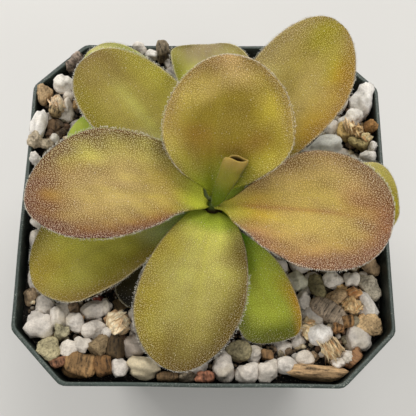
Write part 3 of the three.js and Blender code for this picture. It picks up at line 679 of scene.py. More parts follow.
# the grains that show most: x, y, half length, half width, turn, then colour and extra height
heroGrains = {
    # some near-white perlite colours, for grains in the leaves' shade, are set paler than the grain's own:
    # painted light
    "perlite": [
        (-32.4, -25.8, 3.3, 3.1, 0), (-31.7, -21.2, 2.4, 2.1, 0), (-28.7, -23.7, 2, 3, 0),
        (-22.4, -22.5, 3, 2, 20), (-25.4, -25.2, 2, 2.1, 0), (-22, -26.7, 2.5, 2.1, 10),
        (-26.7, -29.8, 1.8, 1.7, 0), (-24.2, -29.2, 2, 1.8, 0), (-35, -3.7, 1.4, 1.6, 0),
        (-34.8, -7.6, 1.6, 2.2, 0), (-34.8, -16, 1.4, 2.1, 0), (-34.9, -11.8, 1.3, 2.2, 0),
        (-13.7, -29, 2.4, 2.5, 0, "#C4B7A9"), (-16.3, -33, 1.7, 1.9, 0), (-9.6, -31.6, 1.4, 1.3, 0),
        (-19.6, -21.8, 1.4, 1.6, 0), (-13.6, -23.5, 1.6, 1.7, 0, "#CFC5B5"), (4.2, -32.6, 2.5, 3, 0),
        (8.8, -33.2, 2.4, 2.4, 0), (10.4, -29.8, 1.8, 1.7, 0), (13.2, -33, 2.3, 2.1, 0),
        (16.8, -32.2, 2.2, 2.1, 0), (16, -28.6, 2.4, 2, 0), (20.2, -30.8, 2, 1.6, 0),
        (19.4, -27.4, 1.6, 1.8, 0), (23.3, -27.2, 2.6, 2.6, 0, "#FFFAF2"), (22.6, -23, 2.3, 2, -35),
        (31, -27.6, 2.8, 2.9, 0), (33, -21.2, 1.9, 3.1, 28, "#EFE8DE"), (26.8, -15.4, 2.1, 2, 0, "#F2EADC"),
        (30.4, -15.2, 1.6, 1.8, 0, "#F0E8DA"), (27.2, -31.4, 1.8, 1.3, 0), (-0.6, -32.4, 1.7, 1.7, 0),
        (19.6, -15.3, 2, 2.4, 0, "#EEEBD2"), (20.6, -19.7, 1.5, 2, 0, "#EFE7DA"), (-35.2, 1.6, 1.4, 1.9, 0),
        (-20.6, 33.9, 1.9, 1.8, 0), (28.8, -30.4, 1.6, 1.3, 0), (-31, -17.4, 1.6, 1.8, 0),
        (-27, -19.6, 1.7, 1.6, 0), (35.2, 25.7, 2.6, 3.7, 0, "#FFFAF2", 3),
        (32.2, 21, 2.7, 2.2, 0, "#FBF5EA", 0.9), (26.4, 14.8, 4, 2.4, 12, "#FBFAF0", 2.4),
        (36.4, 13.7, 0.9, 1.7, 0, "#FBF5EA", 1.5), (35.1, 11.7, 1.9, 1.3, 10, "#FBF5EA", 0.9),
        (-31.6, 28.9, 2.1, 2.3, 0, "#FBF5EA", -0.8), (-36.1, 17.7, 1.7, 4.2, -8, "#FFFAF2", 0.5),
        (-30.7, 22.6, 1.7, 3, 0, "#F1E9DE", -1.8), (-36.7, 10.1, 1.3, 1.3, 0, "#FBF5EA", -0.6),
        (-33, 15.3, 1.3, 0.9, 20, "#FBF5EA", -1.8), (-15.4, 37.6, 1.7, 1.3, 0, "#F1E9DE", 0.4),
        (-12, 35.6, 1.6, 1.3, 0, "#FBF5EA", 0), (-8.9, 34.8, 0.9, 1.3, 0, "#F1E9DE", -1.3),
        (-11.9, -32.7, 3.6, 2.1, -10, "#E9DAB8", 0.3),
    ],
    "pumice": [
        (-30.3, -30, 2.2, 1.9, 30, "#BDB28C"), (-27.9, -27.2, 1.6, 1.4, 30, "#A9A182"),
        (-35, -19.4, 1.3, 1.5, 0, "#B59C7C"), (-20.6, -29.4, 1.7, 1.7, 0, "#A08A68"),
        (23.5, -16.9, 1.6, 2.1, 0, "#8B825E"), (7.2, -29.6, 2, 1.5, 0, "#978D6C"),
        (27.4, -19, 1.9, 1.9, 0, "#D9B98E"), (34, -25, 2.2, 1.9, -10, "#DDBD8E"),
        (34.5, -12.4, 1.6, 1.6, 0, "#B89C78"), (33.9, -16.4, 1.8, 2.3, 20, "#D6CBB4"),
        (-3.6, -34, 2, 1.5, 0, "#B6A68C", 0.6), (35.8, 18.5, 1.4, 1.4, 0, "#B08450", 1.2),
        (30.6, 17.7, 1.7, 1.7, 30, "#D8B878", 0.2), (34, 15.1, 1.9, 1.5, -25, "#B9A772", 1.2),
        (-35.4, 25.7, 1.25, 1.8, 0, "#C9AA80", -0.9), (-36.5, 14.4, 1.2, 1.5, 0, "#DCCBAE", -0.1),
        (-34.5, 13.7, 1.4, 1.1, 10, "#DCCBAE", -1), (-28.8, 23.4, 0.7, 1.1, 0, "#C9A470", -2.2),
    ],
    "bark": [
        (-24, -32.2, 3.5, 2.4, -8, "#96754C"), (-19.4, -32.6, 1.8, 1.9, 10, "#86623A"),
        (-28, -32, 1.9, 0.9, 15, "#94684C"), (-17.2, -29.4, 1.7, 2.3, 0, "#54432B"),
        (-17.4, -21.2, 2.3, 2, 30, "#806A48"), (-14.6, -18.6, 1.4, 1.9, 0, "#4A3D2A"),
        (23.2, -33.8, 5.7, 1.35, -3, "#BC9B72"), (30.6, -31, 2.2, 1.2, 50, "#A87E58"),
        (25.7, -22.2, 3.6, 2.1, -35, "#A08F7A"), (29, -24.2, 1.4, 1.4, 0, "#9C774C"),
        (12.9, -30, 1.2, 1, 0, "#8A6B48"), (27.3, -25.4, 1.1, 1, 0, "#9C744A"),
        (0.6, -34.6, 1.7, 1.1, 10, "#9E6A50"), (-6.6, -34.6, 2.1, 0.9, 5, "#7A6244", 0.4),
        (-21.2, -20.2, 0.9, 0.6, 0, "#6E2E1C"), (-29.8, 34.4, 2.3, 1, 45, "#A08F80", -1.4),
        (-32.9, 21.4, 1.3, 1.1, 0, "#B59C72", -0.9), (-33.4, 18.5, 1.5, 1.7, 0, "#7A6248", -3.1),
        (-9.7, 36.2, 1.4, 2.1, 8, "#8F8068", 1.8),
    ],
    "vermiculite": [
        (-17, -25.2, 2.5, 3, 0, "#FFF0CC"), (21.3, -25.2, 1.3, 2.5, 0, "#EAD9AE"),
        (25.9, -29, 2.4, 2.4, 20, "#F0E2BC"), (30, -21.2, 2, 1.6, 0, "#F4DCA8"),
        (31, -18.5, 1.9, 1, -15, "#E6B980"), (31.4, 18.6, 1.5, 1.3, 0, "#F6E2B4", 1.3),
        (33, 17.3, 1.3, 1.1, 0, "#EBCF98", 1.6), (34.8, 15.7, 1, 1.1, 0, "#E6D8A4", 1.8),
        (-32.6, 23.1, 1.7, 1.5, 0, "#F6E6C4", -0.3),
    ],
}
stone = {
    "heroTop": 3.7,  # mm that the tops of the chief grains stand over the core
    # the scattered grains from large to small: least and most radius, how close they pack, darts thrown
    "sizes": [(2.0, 2.8, 0.9, 2600), (1.3, 1.9, 0.78, 5000), (0.7, 1.1, 0.66, 9000), (0.3, 0.55, 0.6, 4200)],
    # for the chief grains and then each size: rings and columns of the mesh, and how dark it lies, a painted
    # shade that darkens the small grains deep in the gaps
    "meshes": [(24, 20), (15, 13), (11, 10), (7, 7), (4, 5)], "barkMesh": (26, 22),
    "shade": (1, 1, 1, 0.85, 0.65),
    "rise": (0.5, 0.55, 0.6, 0.6), "toss": (0.3, 0.5, 0.5, 0.3),  # height over the core and its chance
    "field": 36, "side": 35.6, "corner": 61, "crownClear": 3.4,  # mm from the middle, and from the crown
    "unlike": 0.8,  # how much closer a grain may lie to one more than a size larger
    "flat": 0.85, "least": 1.75, "jitter": 0.3,  # the chief grains' height to their width, least, chance
    "lean": 1.1, "edge": 0.9,  # mm that they lean out over the rim; part of the reach that counts
    "seed": 41,
}
flake = {
    "count": 22, "few": 12, "mesh": (5, 8), "thick": (0.1, 0.19),  # mm
    "spread": 0.62, "core": 0.72, "gold": "#A8702E",
}


# places for the grains: the chief ones, then thrown darts of falling size, each kept where it clears
# the wall, the crown and the ones before it
def placeGrains():
    rng = np.random.default_rng(stone["seed"])
    made = [dict(kind=kind, size=(a, b), turn=turn, level=0, colour=more[:1], lift=sum(more[1:]))
            for kind, rows in heroGrains.items() for _, _, a, b, turn, *more in rows]
    x, y = np.array([row[:2] for rows in heroGrains.values() for row in rows]).T
    r = np.array([sum(grain["size"]) / 2 for grain in made])
    levels = np.zeros(len(r))
    names = list(kinds)
    for level, (small, large, packing, tries) in enumerate(stone["sizes"], 1):
        throws = rng.uniform(-stone["field"], stone["field"], (tries, 2))
        radii = rng.uniform(small, large, tries)
        shares = np.array([kinds[name]["share"][level - 1] for name in names])
        picks = rng.choice(len(names), tries, p=shares / shares.sum())
        for (px, py), radius, pick in zip(throws, radii, picks):
            far, near = max(abs(px), abs(py)), np.hypot(px - crown["place"][0], py - crown["place"][1])
            outside = far > stone["side"] - radius or abs(px) + abs(py) > stone["corner"] - 1.3 * radius
            room = np.where(levels >= level - 1, packing, packing * stone["unlike"]) * (r + radius)
            if outside or near < stone["crownClear"] + radius or (np.hypot(x - px, y - py) < room).any():
                continue
            x, y, r = np.append(x, px), np.append(y, py), np.append(r, radius)
            levels = np.append(levels, level)
            made.append(dict(kind=names[pick], size=(radius, radius), turn=None, level=level, colour=[]))
    return x, y, r, made


grainX, grainY, grainR, grainMade = placeGrains()
print("grains placed:", len(grainX))


# foamed volcanic glass: chalk white, with soft pores of 0.55 mm; the pores and the low spots of its grit
# are painted darker, partly dust and partly painted shade
def perliteSkin():
    material, tree, surface, place = startMaterial("expandedPerlite", {
        "Roughness": 0.78, "IOR": 1.45, "Specular IOR Level": 0.35,
        "Subsurface Weight": 0.12, "Subsurface Radius": (1, 0.95, 0.9), "Subsurface Scale": 0.9 * mm})
    tint = addNode(tree, "Attribute", {"attribute_name": "tint"})
    pores = addNode(tree, "TexVoronoi", {"Vector": place, "Scale": 1 / 0.55})
    grit = addNode(tree, "TexNoise", {"Vector": place, "Scale": 1 / 0.4, "Detail": 5, "Roughness": 0.7})
    # pores and the grit's low spots are darkened: painted shade, with some dust in the low spots
    pore = addNode(tree, "MapRange", {0: pores, "range": (0.05, 0.32, 0.86, 1)})
    dustAndShade = addNode(tree, "MapRange", {0: grit, "range": (0.34, 0.6, 0.8, 1.06)})
    shade = addNode(tree, "Math MULTIPLY", {0: pore, 1: dustAndShade})
    tone = addNode(tree, "VectorMath SCALE", {0: tint, "Scale": shade})
    # algae and tannin stain a few of them in patches of 7 mm
    stain = addNode(tree, "TexNoise", {"Vector": place, "Scale": 1 / 7, "Detail": 3})
    stainMask = addNode(tree, "MapRange", {0: stain, "range": (0.56, 0.74, 0, 0.45)})
    stained = addNode(tree, "Mix", {0: stainMask, 6: tone, 7: "#C2B493"})
    height = addNode(tree, "Math ADD", {0: grit, 1: pore})
    bump = addNode(tree, "Bump", {"Strength": 1, "Distance": 0.3 * mm, "Height": height})
    setNode(surface, {"Base Color": stained, "Normal": bump})
    return material


# pumice and lava grit: broken, matt, with pits of 0.4 mm and darker spots that sit low in the relief,
# partly mineral colour and partly painted shade
def pumiceSkin():
    material, tree, surface, place = startMaterial("pumiceGrit", {
        "Roughness": 0.85, "Specular IOR Level": 0.3})
    tint = addNode(tree, "Attribute", {"attribute_name": "tint"})
    spots = addNode(tree, "TexNoise", {"Vector": place, "Scale": 1 / 0.5, "Detail": 6, "Roughness": 0.72})
    # the spots' dark end is also the low end of the relief: partly painted shade
    tone = addNode(tree, "ValToRGB", {0: spots, "stops": [(0.34, 0.38), (0.5, 0.9), (0.66, 1.2)]})
    mixed = addNode(tree, "Mix MULTIPLY", {0: 1.0, 6: tint, 7: tone})
    pits = addNode(tree, "TexVoronoi", {"Vector": place, "Scale": 1 / 0.4})
    height = addNode(tree, "Math ADD", {0: spots, 1: pits})
    bump = addNode(tree, "Bump", {"Strength": 0.8, "Distance": 0.25 * mm, "Height": height})
    setNode(surface, {"Base Color": mixed, "Normal": bump})
    return material


# conifer bark, chipped: brown, split into fibre ridges of 0.45 mm across the chip; its cracks painted dark
# and its ridge tops painted lighter, painted shade and highlight over the bark's own brown
def barkSkin():
    material, tree, surface, _ = startMaterial("coniferBark", {"Roughness": 0.8, "Specular IOR Level": 0.35})
    tint = addNode(tree, "Attribute", {"attribute_name": "tint"})
    own = addNode(tree, "Attribute", {"attribute_name": "ownPlace"}).outputs["Vector"]
    drawn = addNode(tree, "VectorMath MULTIPLY", {0: own, 1: (1 / 0.45, 1 / 3.5, 1 / 1.2)})
    fibre = addNode(tree, "TexNoise", {"Vector": drawn, "Scale": 1, "Detail": 4, "Roughness": 0.65})
    grit = addNode(tree, "TexNoise", {"Vector": own, "Scale": 1 / 0.7, "Detail": 5, "Roughness": 0.7})
    relief = addNode(tree, "Math MULTIPLY_ADD", {0: grit, 1: 0.6, 2: 0.2})
    relief = addNode(tree, "Math ADD", {0: fibre, 1: relief})
    half = addNode(tree, "Math MULTIPLY", {0: relief, 1: 0.5})
    # tone follows the relief: painted shade in the cracks, painted highlight on the ridges
    tone = addNode(tree, "ValToRGB", {
        0: half, "stops": [(0.4, 0.12), (0.455, 0.55), (0.5, 0.95), (0.6, 1.5)]})
    mixed = addNode(tree, "Mix MULTIPLY", {0: 1.0, 6: tint, 7: tone})
    bump = addNode(tree, "Bump", {"Strength": 0.9, "Distance": 0.4 * mm, "Height": relief})
    setNode(surface, {"Base Color": mixed, "Normal": bump})
    return material


# expanded vermiculite: golden mica leaves in a stack, each edge catching a satin light
def vermiculiteSkin():
    material, tree, surface, place = startMaterial("expandedVermiculite", {
        "Roughness": 0.5, "IOR": 1.56, "Sheen Weight": 0.2, "Sheen Roughness": 0.4})
    tint = addNode(tree, "Attribute", {"attribute_name": "tint"})
    own = addNode(tree, "Attribute", {"attribute_name": "ownPlace"}).outputs["Vector"]
    drawn = addNode(tree, "VectorMath MULTIPLY", {0: own, 1: (1 / 1.6, 1 / 1.6, 1 / 0.3)})
    layers = addNode(tree, "TexNoise", {"Vector": drawn, "Scale": 1, "Detail": 3})
    flakes = addNode(tree, "TexVoronoi", {"Vector": place, "Scale": 1 / 0.9})
    # tone follows the layers' relief, darker low and paler high: partly the layers' own colour, partly
    # painted shade and highlight
    tone = addNode(tree, "ValToRGB", {0: layers, "stops": [(0.35, 0.6), (0.48, 1.0), (0.66, 1.25)]})
    mixed = addNode(tree, "Mix MULTIPLY", {0: 1.0, 6: tint, 7: tone})
    patch = addNode(tree, "MapRange", {0: flakes, "range": (0.3, 0.6, 0, 0.4)})
    patched = addNode(tree, "Mix MULTIPLY", {0: patch, 6: mixed, 7: "#D0A055"})
    bump = addNode(tree, "Bump", {"Strength": 0.7, "Distance": 0.3 * mm, "Height": layers})
    setNode(surface, {"Base Color": patched, "Normal": bump})
    return material


# radius of each kind's grains over a sphere, with its own relief on top of the rough form
def grainRadius(kind, directions, count, rng, fine):
    if kind == "perlite":  # popcorn, broken here and there
        radius = mix(lumpRadius(directions, count, rng), chippedRadius(directions, count, rng, 16, 14),
                     rng.uniform(0.1, 0.5, (count, 1)))
    elif kind == "pumice":
        radius = chippedRadius(directions, count, rng)
    elif kind == "bark":
        radius = blockRadius(directions, count) * 0.86
    else:
        radius = chippedRadius(directions, count, rng, 9, 16)
    relief, length = kinds[kind]["relief"]
    for i in range(count):
        seed = int(rng.integers(1e9))
        radius[i] *= 1 + 0.08 * ripple(directions, 1.6, seed)
        if fine:
            radius[i] *= (1 + relief * ripple(directions, length, seed + 1)
                          + relief / 3 * ripple(directions, length / 2, seed + 4))
        if fine and kind == "bark":  # ridges across the chip, an eighth of its half length apart
            ridge = directions[:, 0] * radius[i] * 26 + 0.5 * ripple(directions, 0.9, seed + 2)
            radius[i] *= 1 + 0.05 * np.abs(np.sin(ridge))
        if fine and kind == "vermiculite":  # seven layers to the half height, that step in and out
            layer = np.floor(directions[:, 2] * radius[i] * 7 + 0.5 * ripple(directions, 1.4, seed + 3))
            radius[i] *= 1 + 0.12 * np.sin(layer * 12.9898 + i)
    return radius


# where a set of grains lies: on the core, its top at a set height, under the leaves and inside the
# wall's octagon; the tallest may lean over the rim a little
def settle(chosen, rng, kind, level):
    count, chief = len(chosen), level == 0
    size = np.array([grainMade[i]["size"] for i in chosen])
    x, y, r = grainX[chosen], grainY[chosen], grainR[chosen]
    if chief:
        lift = np.array([grainMade[i]["lift"] for i in chosen])
        tall = np.maximum(stone["flat"] * size.mean(1), stone["least"])
        deeper = 0.4 * np.maximum(lift, 0)
        sizes = np.c_[size, tall + deeper] * kinds[kind]["swell"]
        turns = turnMatrices(count, rng, np.array([grainMade[i]["turn"] for i in chosen]))
        y = y - 1.2 * smooth(-y, 27, 31)
        z = coreHeight(x, y) + np.maximum(stone["heroTop"] - tall, 0.35 * tall)
        z += rng.uniform(-stone["jitter"], stone["jitter"], count)
        z += 0.6 * smooth(y - x, 15, 45) + lift - deeper
    else:
        sizes = r[:, None] * (1 + kinds[kind]["stretch"] * rng.uniform(-1, 0.6, (count, 3)))
        turns = turnMatrices(count, rng)
        z = coreHeight(x, y) + r * stone["rise"][level - 1]
        z += stone["toss"][level - 1] * rng.uniform(-1, 1.2, count)
    roof = np.array([ceilingOver(px, py, pr * (0.5 if chief else 1)) for px, py, pr in zip(x, y, r)])
    tops = sizes[:, 2] if chief else sizes.max(1)
    z = np.minimum(z, roof - tops - ground["clearance"])
    for k in range(8):
        normal = np.array([np.cos(np.pi / 4 * k), np.sin(np.pi / 4 * k)])
        inner = 36.35 + 0.16 * (z - 60) + (stone["lean"] * smooth(z, 63.6, 65.8) if chief else 0)
        limit = inner if k % 2 == 0 else (2 * inner - pot["cornerCut"] * inner / pot["rimHalf"]) / np.sqrt(2)
        reach = np.linalg.norm((turns * sizes[:, None, :])[:, :2].transpose(0, 2, 1) @ normal, axis=1)
        reach = np.minimum(reach, sizes.max(1)) * stone["edge"]
        over = np.maximum(x * normal[0] + y * normal[1] + reach - limit, 0)
        x, y = x - over * normal[0], y - over * normal[1]
    return x, y, z, sizes, turns


# half width that grains may fill at each height: inside the wall up to the rim, and over it past that
wallRoom = [(54, 33.7), (57.8, 34.2), (59.2, 35.4), (60, 36.1), (65.6, 36.85), (66.9, 37.05), (67.15, 38.3)]


# grains are pressed in where they would pass through the wall, and lean out only over the rim
def keepInside(points):
    room = np.interp(points[..., 2], *np.array(wallRoom).T)
    turn = np.pi / 4 * np.arange(8)
    corner = (2 - pot["cornerCut"] / pot["rimHalf"]) / np.sqrt(2)
    normals = np.stack([np.cos(turn), np.sin(turn)]) / np.where(np.arange(8) % 2, corner, 1)
    reach = (points[..., :2] @ normals).max(-1)
    flat = points[..., :2] * np.minimum(1, room / np.maximum(reach, 1e-6))[..., None]
    return np.concatenate([flat, points[..., 2:]], -1)


# a colour for each grain, its own or one of the kind's, a little lighter or darker
def grainColours(chosen, kind, rng):
    palette = np.array([hexColour(c) for c in kinds[kind]["colours"]])
    base = palette[rng.integers(len(palette), size=len(chosen))]
    for row, i in enumerate(chosen):
        if grainMade[i]["colour"]:
            base[row] = hexColour(grainMade[i]["colour"][0])
    return base * rng.uniform(0.88, 1.05, (len(chosen), 1))


# thin flakes of one grain: n squared plates crumpled round it, or for every third grain in a stack
def flakeClutch(i, n, size, directions, rng):
    stacked = i % 3 == 2
    away = unit(rng.normal(size=(n, 3)) + (0, 0, 0.4))
    if stacked:
        facing = np.broadcast_to([1.0, 0.25, 0.35], (n, 3)) + 0.16 * rng.normal(size=(n, 3))
        away = np.c_[rng.uniform(-1, 1, n), rng.uniform(-0.3, 0.3, (n, 2))]
        flat = np.full((n, 2), size[1:].mean()) * rng.uniform(0.6, 1, (n, 2))
    else:
        facing = away + 0.55 * rng.normal(size=(n, 3))
        flat = size.mean() * rng.uniform(0.35, 0.72, (n, 2))
    facing = unit(facing)
    aside = unit(np.cross(facing, unit(rng.normal(size=(n, 3)))))
    frames = np.stack([aside, np.cross(facing, aside), facing], -1)
    thick = rng.uniform(*flake["thick"], n) * (1.3 if stacked else 1)
    uneven = 1 + 0.16 * ripple(directions, 1.5, i)[None] * rng.uniform(-1, 1, (n, 1))
    ragged = blockRadius(directions, n, 5) * uneven
    local = ragged[..., None] * directions * np.c_[flat, thick][:, None]
    return np.einsum("nij,nvj->nvi", frames, local) + (away * size * flake["spread"])[:, None]


# all grains of a kind in one mesh: radius times direction, stretched, turned and settled
def addGrains(kind, material):
    rng = np.random.default_rng(stone["seed"] + len(kind))
    points, quads, triangles, tints, owns, offset = [], [], [], [], [], 0

    def gather(placed, local, base, shade, quad, triangle):
        nonlocal offset
        points.append(keepInside(placed).reshape(-1, 3))
        owns.append(local.reshape(-1, 3))
        tints.append((base[:, None] * shade[..., None]).reshape(-1, 3))
        step = offset + np.arange(len(placed))[:, None, None] * placed.shape[1]
        quads.append((quad[None] + step).reshape(-1, 4))
        triangles.append((triangle[None] + step).reshape(-1, 3))
        offset += placed.shape[0] * placed.shape[1]

    for level in range(5):
        chosen = [i for i, made in enumerate(grainMade) if made["kind"] == kind and made["level"] == level]
        if not chosen:
            continue
        count = len(chosen)
        x, y, z, sizes, turns = settle(chosen, rng, kind, level)
        # smaller grains get painted shade: they are darkened as lying deep in the gaps
        base = grainColours(chosen, kind, rng) * stone["shade"][level]
        flaky = kind == "vermiculite" and level < 3
        if flaky:
            directions, quad, triangle = sphereGrid(*flake["mesh"])
            n = flake["count"] if level == 0 else flake["few"]
            for i in range(count):
                local = flakeClutch(i, n, sizes[i], directions, rng)
                placed = local @ turns[i].T + (x[i], y[i], z[i])
                tone = mix(base[i], hexColour(flake["gold"]), rng.uniform(0, 0.85, (n, 1)) ** 2)
                tone = tone * rng.uniform(0.85, 1.15, (n, 1))
                own = local + rng.uniform(-40, 40, (n, 1, 3))
                gather(placed, own, tone, np.ones(placed.shape[:2]), quad, triangle)
        barkChip = kind == "bark" and level == 0
        directions, quad, triangle = sphereGrid(*(stone["barkMesh"] if barkChip else stone["meshes"][level]))
        radius = grainRadius(kind, directions, count, rng, level == 0)
        if flaky:
            radius = radius * flake["core"]  # what carries the flakes
        local = radius[..., None] * directions[None] * sizes[:, None, :]
        placed = np.einsum("nij,nvj->nvi", turns, local) + np.c_[x, y, z][:, None, :]
        own = local + rng.uniform(-40, 40, (count, 1, 3))
        if kind == "bark":  # a stick's fibres run along it
            stick = sizes[:, 0] > 2.6 * sizes[:, 1]
            own[stick] = own[stick][..., [1, 0, 2]]
        # where the radius dips, the tint is darkened: painted shade in the creases
        crease = np.clip((radius / radius.mean(axis=1, keepdims=True) - 0.8) / 0.35, 0, 1)
        gather(placed, own, base, mix(kinds[kind]["crease"], 1.04, crease), quad, triangle)
    quads, triangles = np.vstack(quads), np.vstack(triangles)
    buildPiece(kinds[kind]["piece"], np.vstack(points), [quads, triangles], material, ["soil"],
               tint=np.vstack(tints), ownPlace=np.vstack(owns))
    print(kinds[kind]["piece"] + ":", 2 * len(quads) + len(triangles), "triangles")


for kind, grainSkin in zip(kinds, (perliteSkin, pumiceSkin, barkSkin, vermiculiteSkin)):
    addGrains(kind, grainSkin())


# rosette: skin, blades and hairs

skin = {
    "glandPeriod": 0.3, "mottlePeriod": 1.5, "veinAcross": 1.2, "veinAlong": 10,  # mm
    "frost": "#F6ECD2", "blush": "#5A2412", "glow": (1.08, 1.13, 0.78),
}


# butterwort leaf: succulent and satin, yellow-green flesh brighter along the veins; every 0.3 mm, the
# finest that still shows, a pale dried gland with a painted glint, and between the glands a gap darkened
# as painted shade that turns red-brown where the leaf blushes
def leafSkin(name, frostMost, blushMost):
    material, tree, surface, place = startMaterial(name, {
        "Roughness": 0.5, "IOR": 1.4, "Specular IOR Level": 0.16,
        "Subsurface Weight": 0.2, "Subsurface Radius": (1.0, 0.8, 0.2), "Subsurface Scale": 0.4 * mm})
    tint = addNode(tree, "Attribute", {"attribute_name": "tint"})
    blushing = tint.outputs["Alpha"]
    mottle = addNode(tree, "TexNoise", {
        "Vector": place, "Scale": 1 / skin["mottlePeriod"], "Detail": 4, "Roughness": 0.6})
    shade = addNode(tree, "MapRange", {0: mottle, "range": (0.3, 0.7, 0.93, 1.07)})
    flesh = addNode(tree, "VectorMath SCALE", {0: tint, "Scale": shade})
    # the blade's own place: mm across, mm along, and mm across fanned out from the foot
    own = addNode(tree, "Attribute", {"attribute_name": "ownPlace"}).outputs["Vector"]
    drawn = addNode(tree, "VectorMath MULTIPLY", {
        0: own, 1: (0, 1 / skin["veinAlong"], 1 / skin["veinAcross"])})
    streak = addNode(tree, "TexNoise", {"Vector": drawn, "Scale": 1, "Detail": 3})
    vein = addNode(tree, "MapRange", {0: streak, "range": (0.42, 0.72, 0, 0.5)})
    glowing = addNode(tree, "VectorMath MULTIPLY", {0: flesh, 1: skin["glow"]})
    veined = addNode(tree, "Mix", {0: vein, 6: flesh, 7: glowing})
    # glands: distance to the middle of each cell
    cells = addNode(tree, "TexVoronoi", {
        "voronoi_dimensions": "2D", "Vector": own, "Scale": 1 / skin["glandPeriod"], "Randomness": 0.85})
    gap = addNode(tree, "MapRange", {0: cells, "range": (0.09, 0.34, 0, blushMost)})
    blush = addNode(tree, "Math MULTIPLY", {0: gap, 1: blushing})
    blushed = addNode(tree, "Mix", {0: blush, 6: veined, 7: skin["blush"]})
    # gaps between glands are darkened: painted shade
    gapShade = addNode(tree, "MapRange", {0: gap, "range": (0, 1, 1.06, 0.68)})
    sunk = addNode(tree, "VectorMath SCALE", {0: blushed, "Scale": gapShade})
    # frost: the glands' pale colour with a painted glint, on green skin a paler green, on red skin cream
    lit = addNode(tree, "VectorMath SCALE", {0: tint, "Scale": 1.8})
    reddish = addNode(tree, "MapRange", {0: blushing, "range": (0.1, 1, 0.15, 0.95)})
    frostTone = addNode(tree, "Mix", {0: reddish, 6: lit, 7: skin["frost"]})
    speck = addNode(tree, "MapRange", {0: cells, "range": (0.05, 0.25, frostMost, 0)})
    patchy = addNode(tree, "MapRange", {0: blushing, "range": (0, 1, 0.7, 1.15)})
    frost = addNode(tree, "Math MULTIPLY", {0: speck, 1: patchy})
    frosted = addNode(tree, "Mix", {0: frost, 6: sunk, 7: frostTone})
    bump = addNode(tree, "Bump", {"Strength": 0.4, "Distance": 0.12 * mm, "Height": speck})
    setNode(surface, {"Base Color": frosted, "Normal": bump})
    return material


# stalked glands: a stalk and a drop of slime, milky and glinting, tinged by the leaf under it
def glandDew():
    material, tree, surface, place = startMaterial("glandDew", {
        "Roughness": 0.25, "IOR": 1.38, "Specular IOR Level": 0.5,
        "Subsurface Weight": 0.8, "Subsurface Radius": (1, 1, 0.9), "Subsurface Scale": 0.3 * mm})
    tint = addNode(tree, "Attribute", {"attribute_name": "tint"})
    noise = addNode(tree, "TexNoise", {"Vector": place, "Scale": 1 / 2, "Detail": 2})
    tone = addNode(tree, "MapRange", {0: noise, "range": (0.3, 0.7, 0.88, 1.08)})
    varied = addNode(tree, "VectorMath SCALE", {0: tint, "Scale": tone})
    setNode(surface, {"Base Color": varied})
    return material


skinMaterial = leafSkin("succulentLeafSkin", 0.9, 0.75)
youngMaterial = leafSkin("youngLeafSkin", 0.08, 0.3)
dewMaterial = glandDew()

blade = {
    "wander": 0.06, "rimPale": "#DDD3B4", "rimWidth": 0.2, "redWidth": 3,  # mm
    "thick": 1.0, "thin": 0.66, "grooveWidth": 1.3,
    "waves": ((0.16, 9), (0.045, 3.5)), "marginRoll": 0.1,  # mm high and long
}


# colour over the blade: base to middle to tip along it, then out to each margin, a rib line and a
# pale rim 0.2 mm wide; the blush as alpha, stronger towards the margins and the tip
def bladeTint(leaf, s, v, points):
    base, middle, tip, left, right, rib, heel, red = (hexColour(leaf[k]) for k in (
        "base", "middle", "tip", "left", "right", "rib", "heel", "marginRed"))
    halfWidth = leafHalfWidth(leaf, s, np.sign(v))
    inside = np.minimum((1 - np.abs(v)) * halfWidth, (1 - s) * leaf["length"])
    wander = blade["wander"] * ripple(points, 11, 7)
    side = np.where((v > 0)[..., None], left, right)
    side = mix(side, mix(left, right, 0.5), np.exp(-(v / 0.12) ** 2)[..., None])
    edge = smooth(np.abs(v) + wander, 0.25, 1.02) * smooth(s, *leaf["sideFrom"])
    edge = edge * (1 - 0.55 * smooth(s, 0.75, 1))
    nearRib = np.exp(-(v * halfWidth / leaf["ribWidth"]) ** 2)
    nearRib = nearRib * smooth(s, 0.05, 0.2) * (1 - smooth(s, 0.6, 0.95))
    nearRed = np.exp(-(inside / blade["redWidth"]) ** 2) * smooth(s, 0.25, 0.6)
    nearRim = np.exp(-(inside / blade["rimWidth"]) ** 2) * smooth(s, 0.05, 0.25)
    colour = base
    for tone, share in ((middle, smooth(s + wander, 0.05, 0.5)), (tip, smooth(s + wander, 0.62, 1.02)),
                        (side, edge), (heel, 0.75 * (1 - smooth(s + 0.4 * wander, 0.02, leaf["heelReach"]))),
                        (rib, leaf["ribStrength"] * nearRib), (red, leaf["blush"] * 0.36 * nearRed),
                        (hexColour(blade["rimPale"]), 0.6 * nearRim)):
        colour = mix(colour, tone, share[..., None])
    blush = 0.26 + 0.7 * np.abs(v) ** 2.5 + 0.55 * smooth(s, 0.55, 1) + 0.1 * ripple(points, 5, 9)
    return np.dstack([colour, leaf["blush"] * np.clip(blush, 0, 1) * smooth(s, 0, 0.16)])


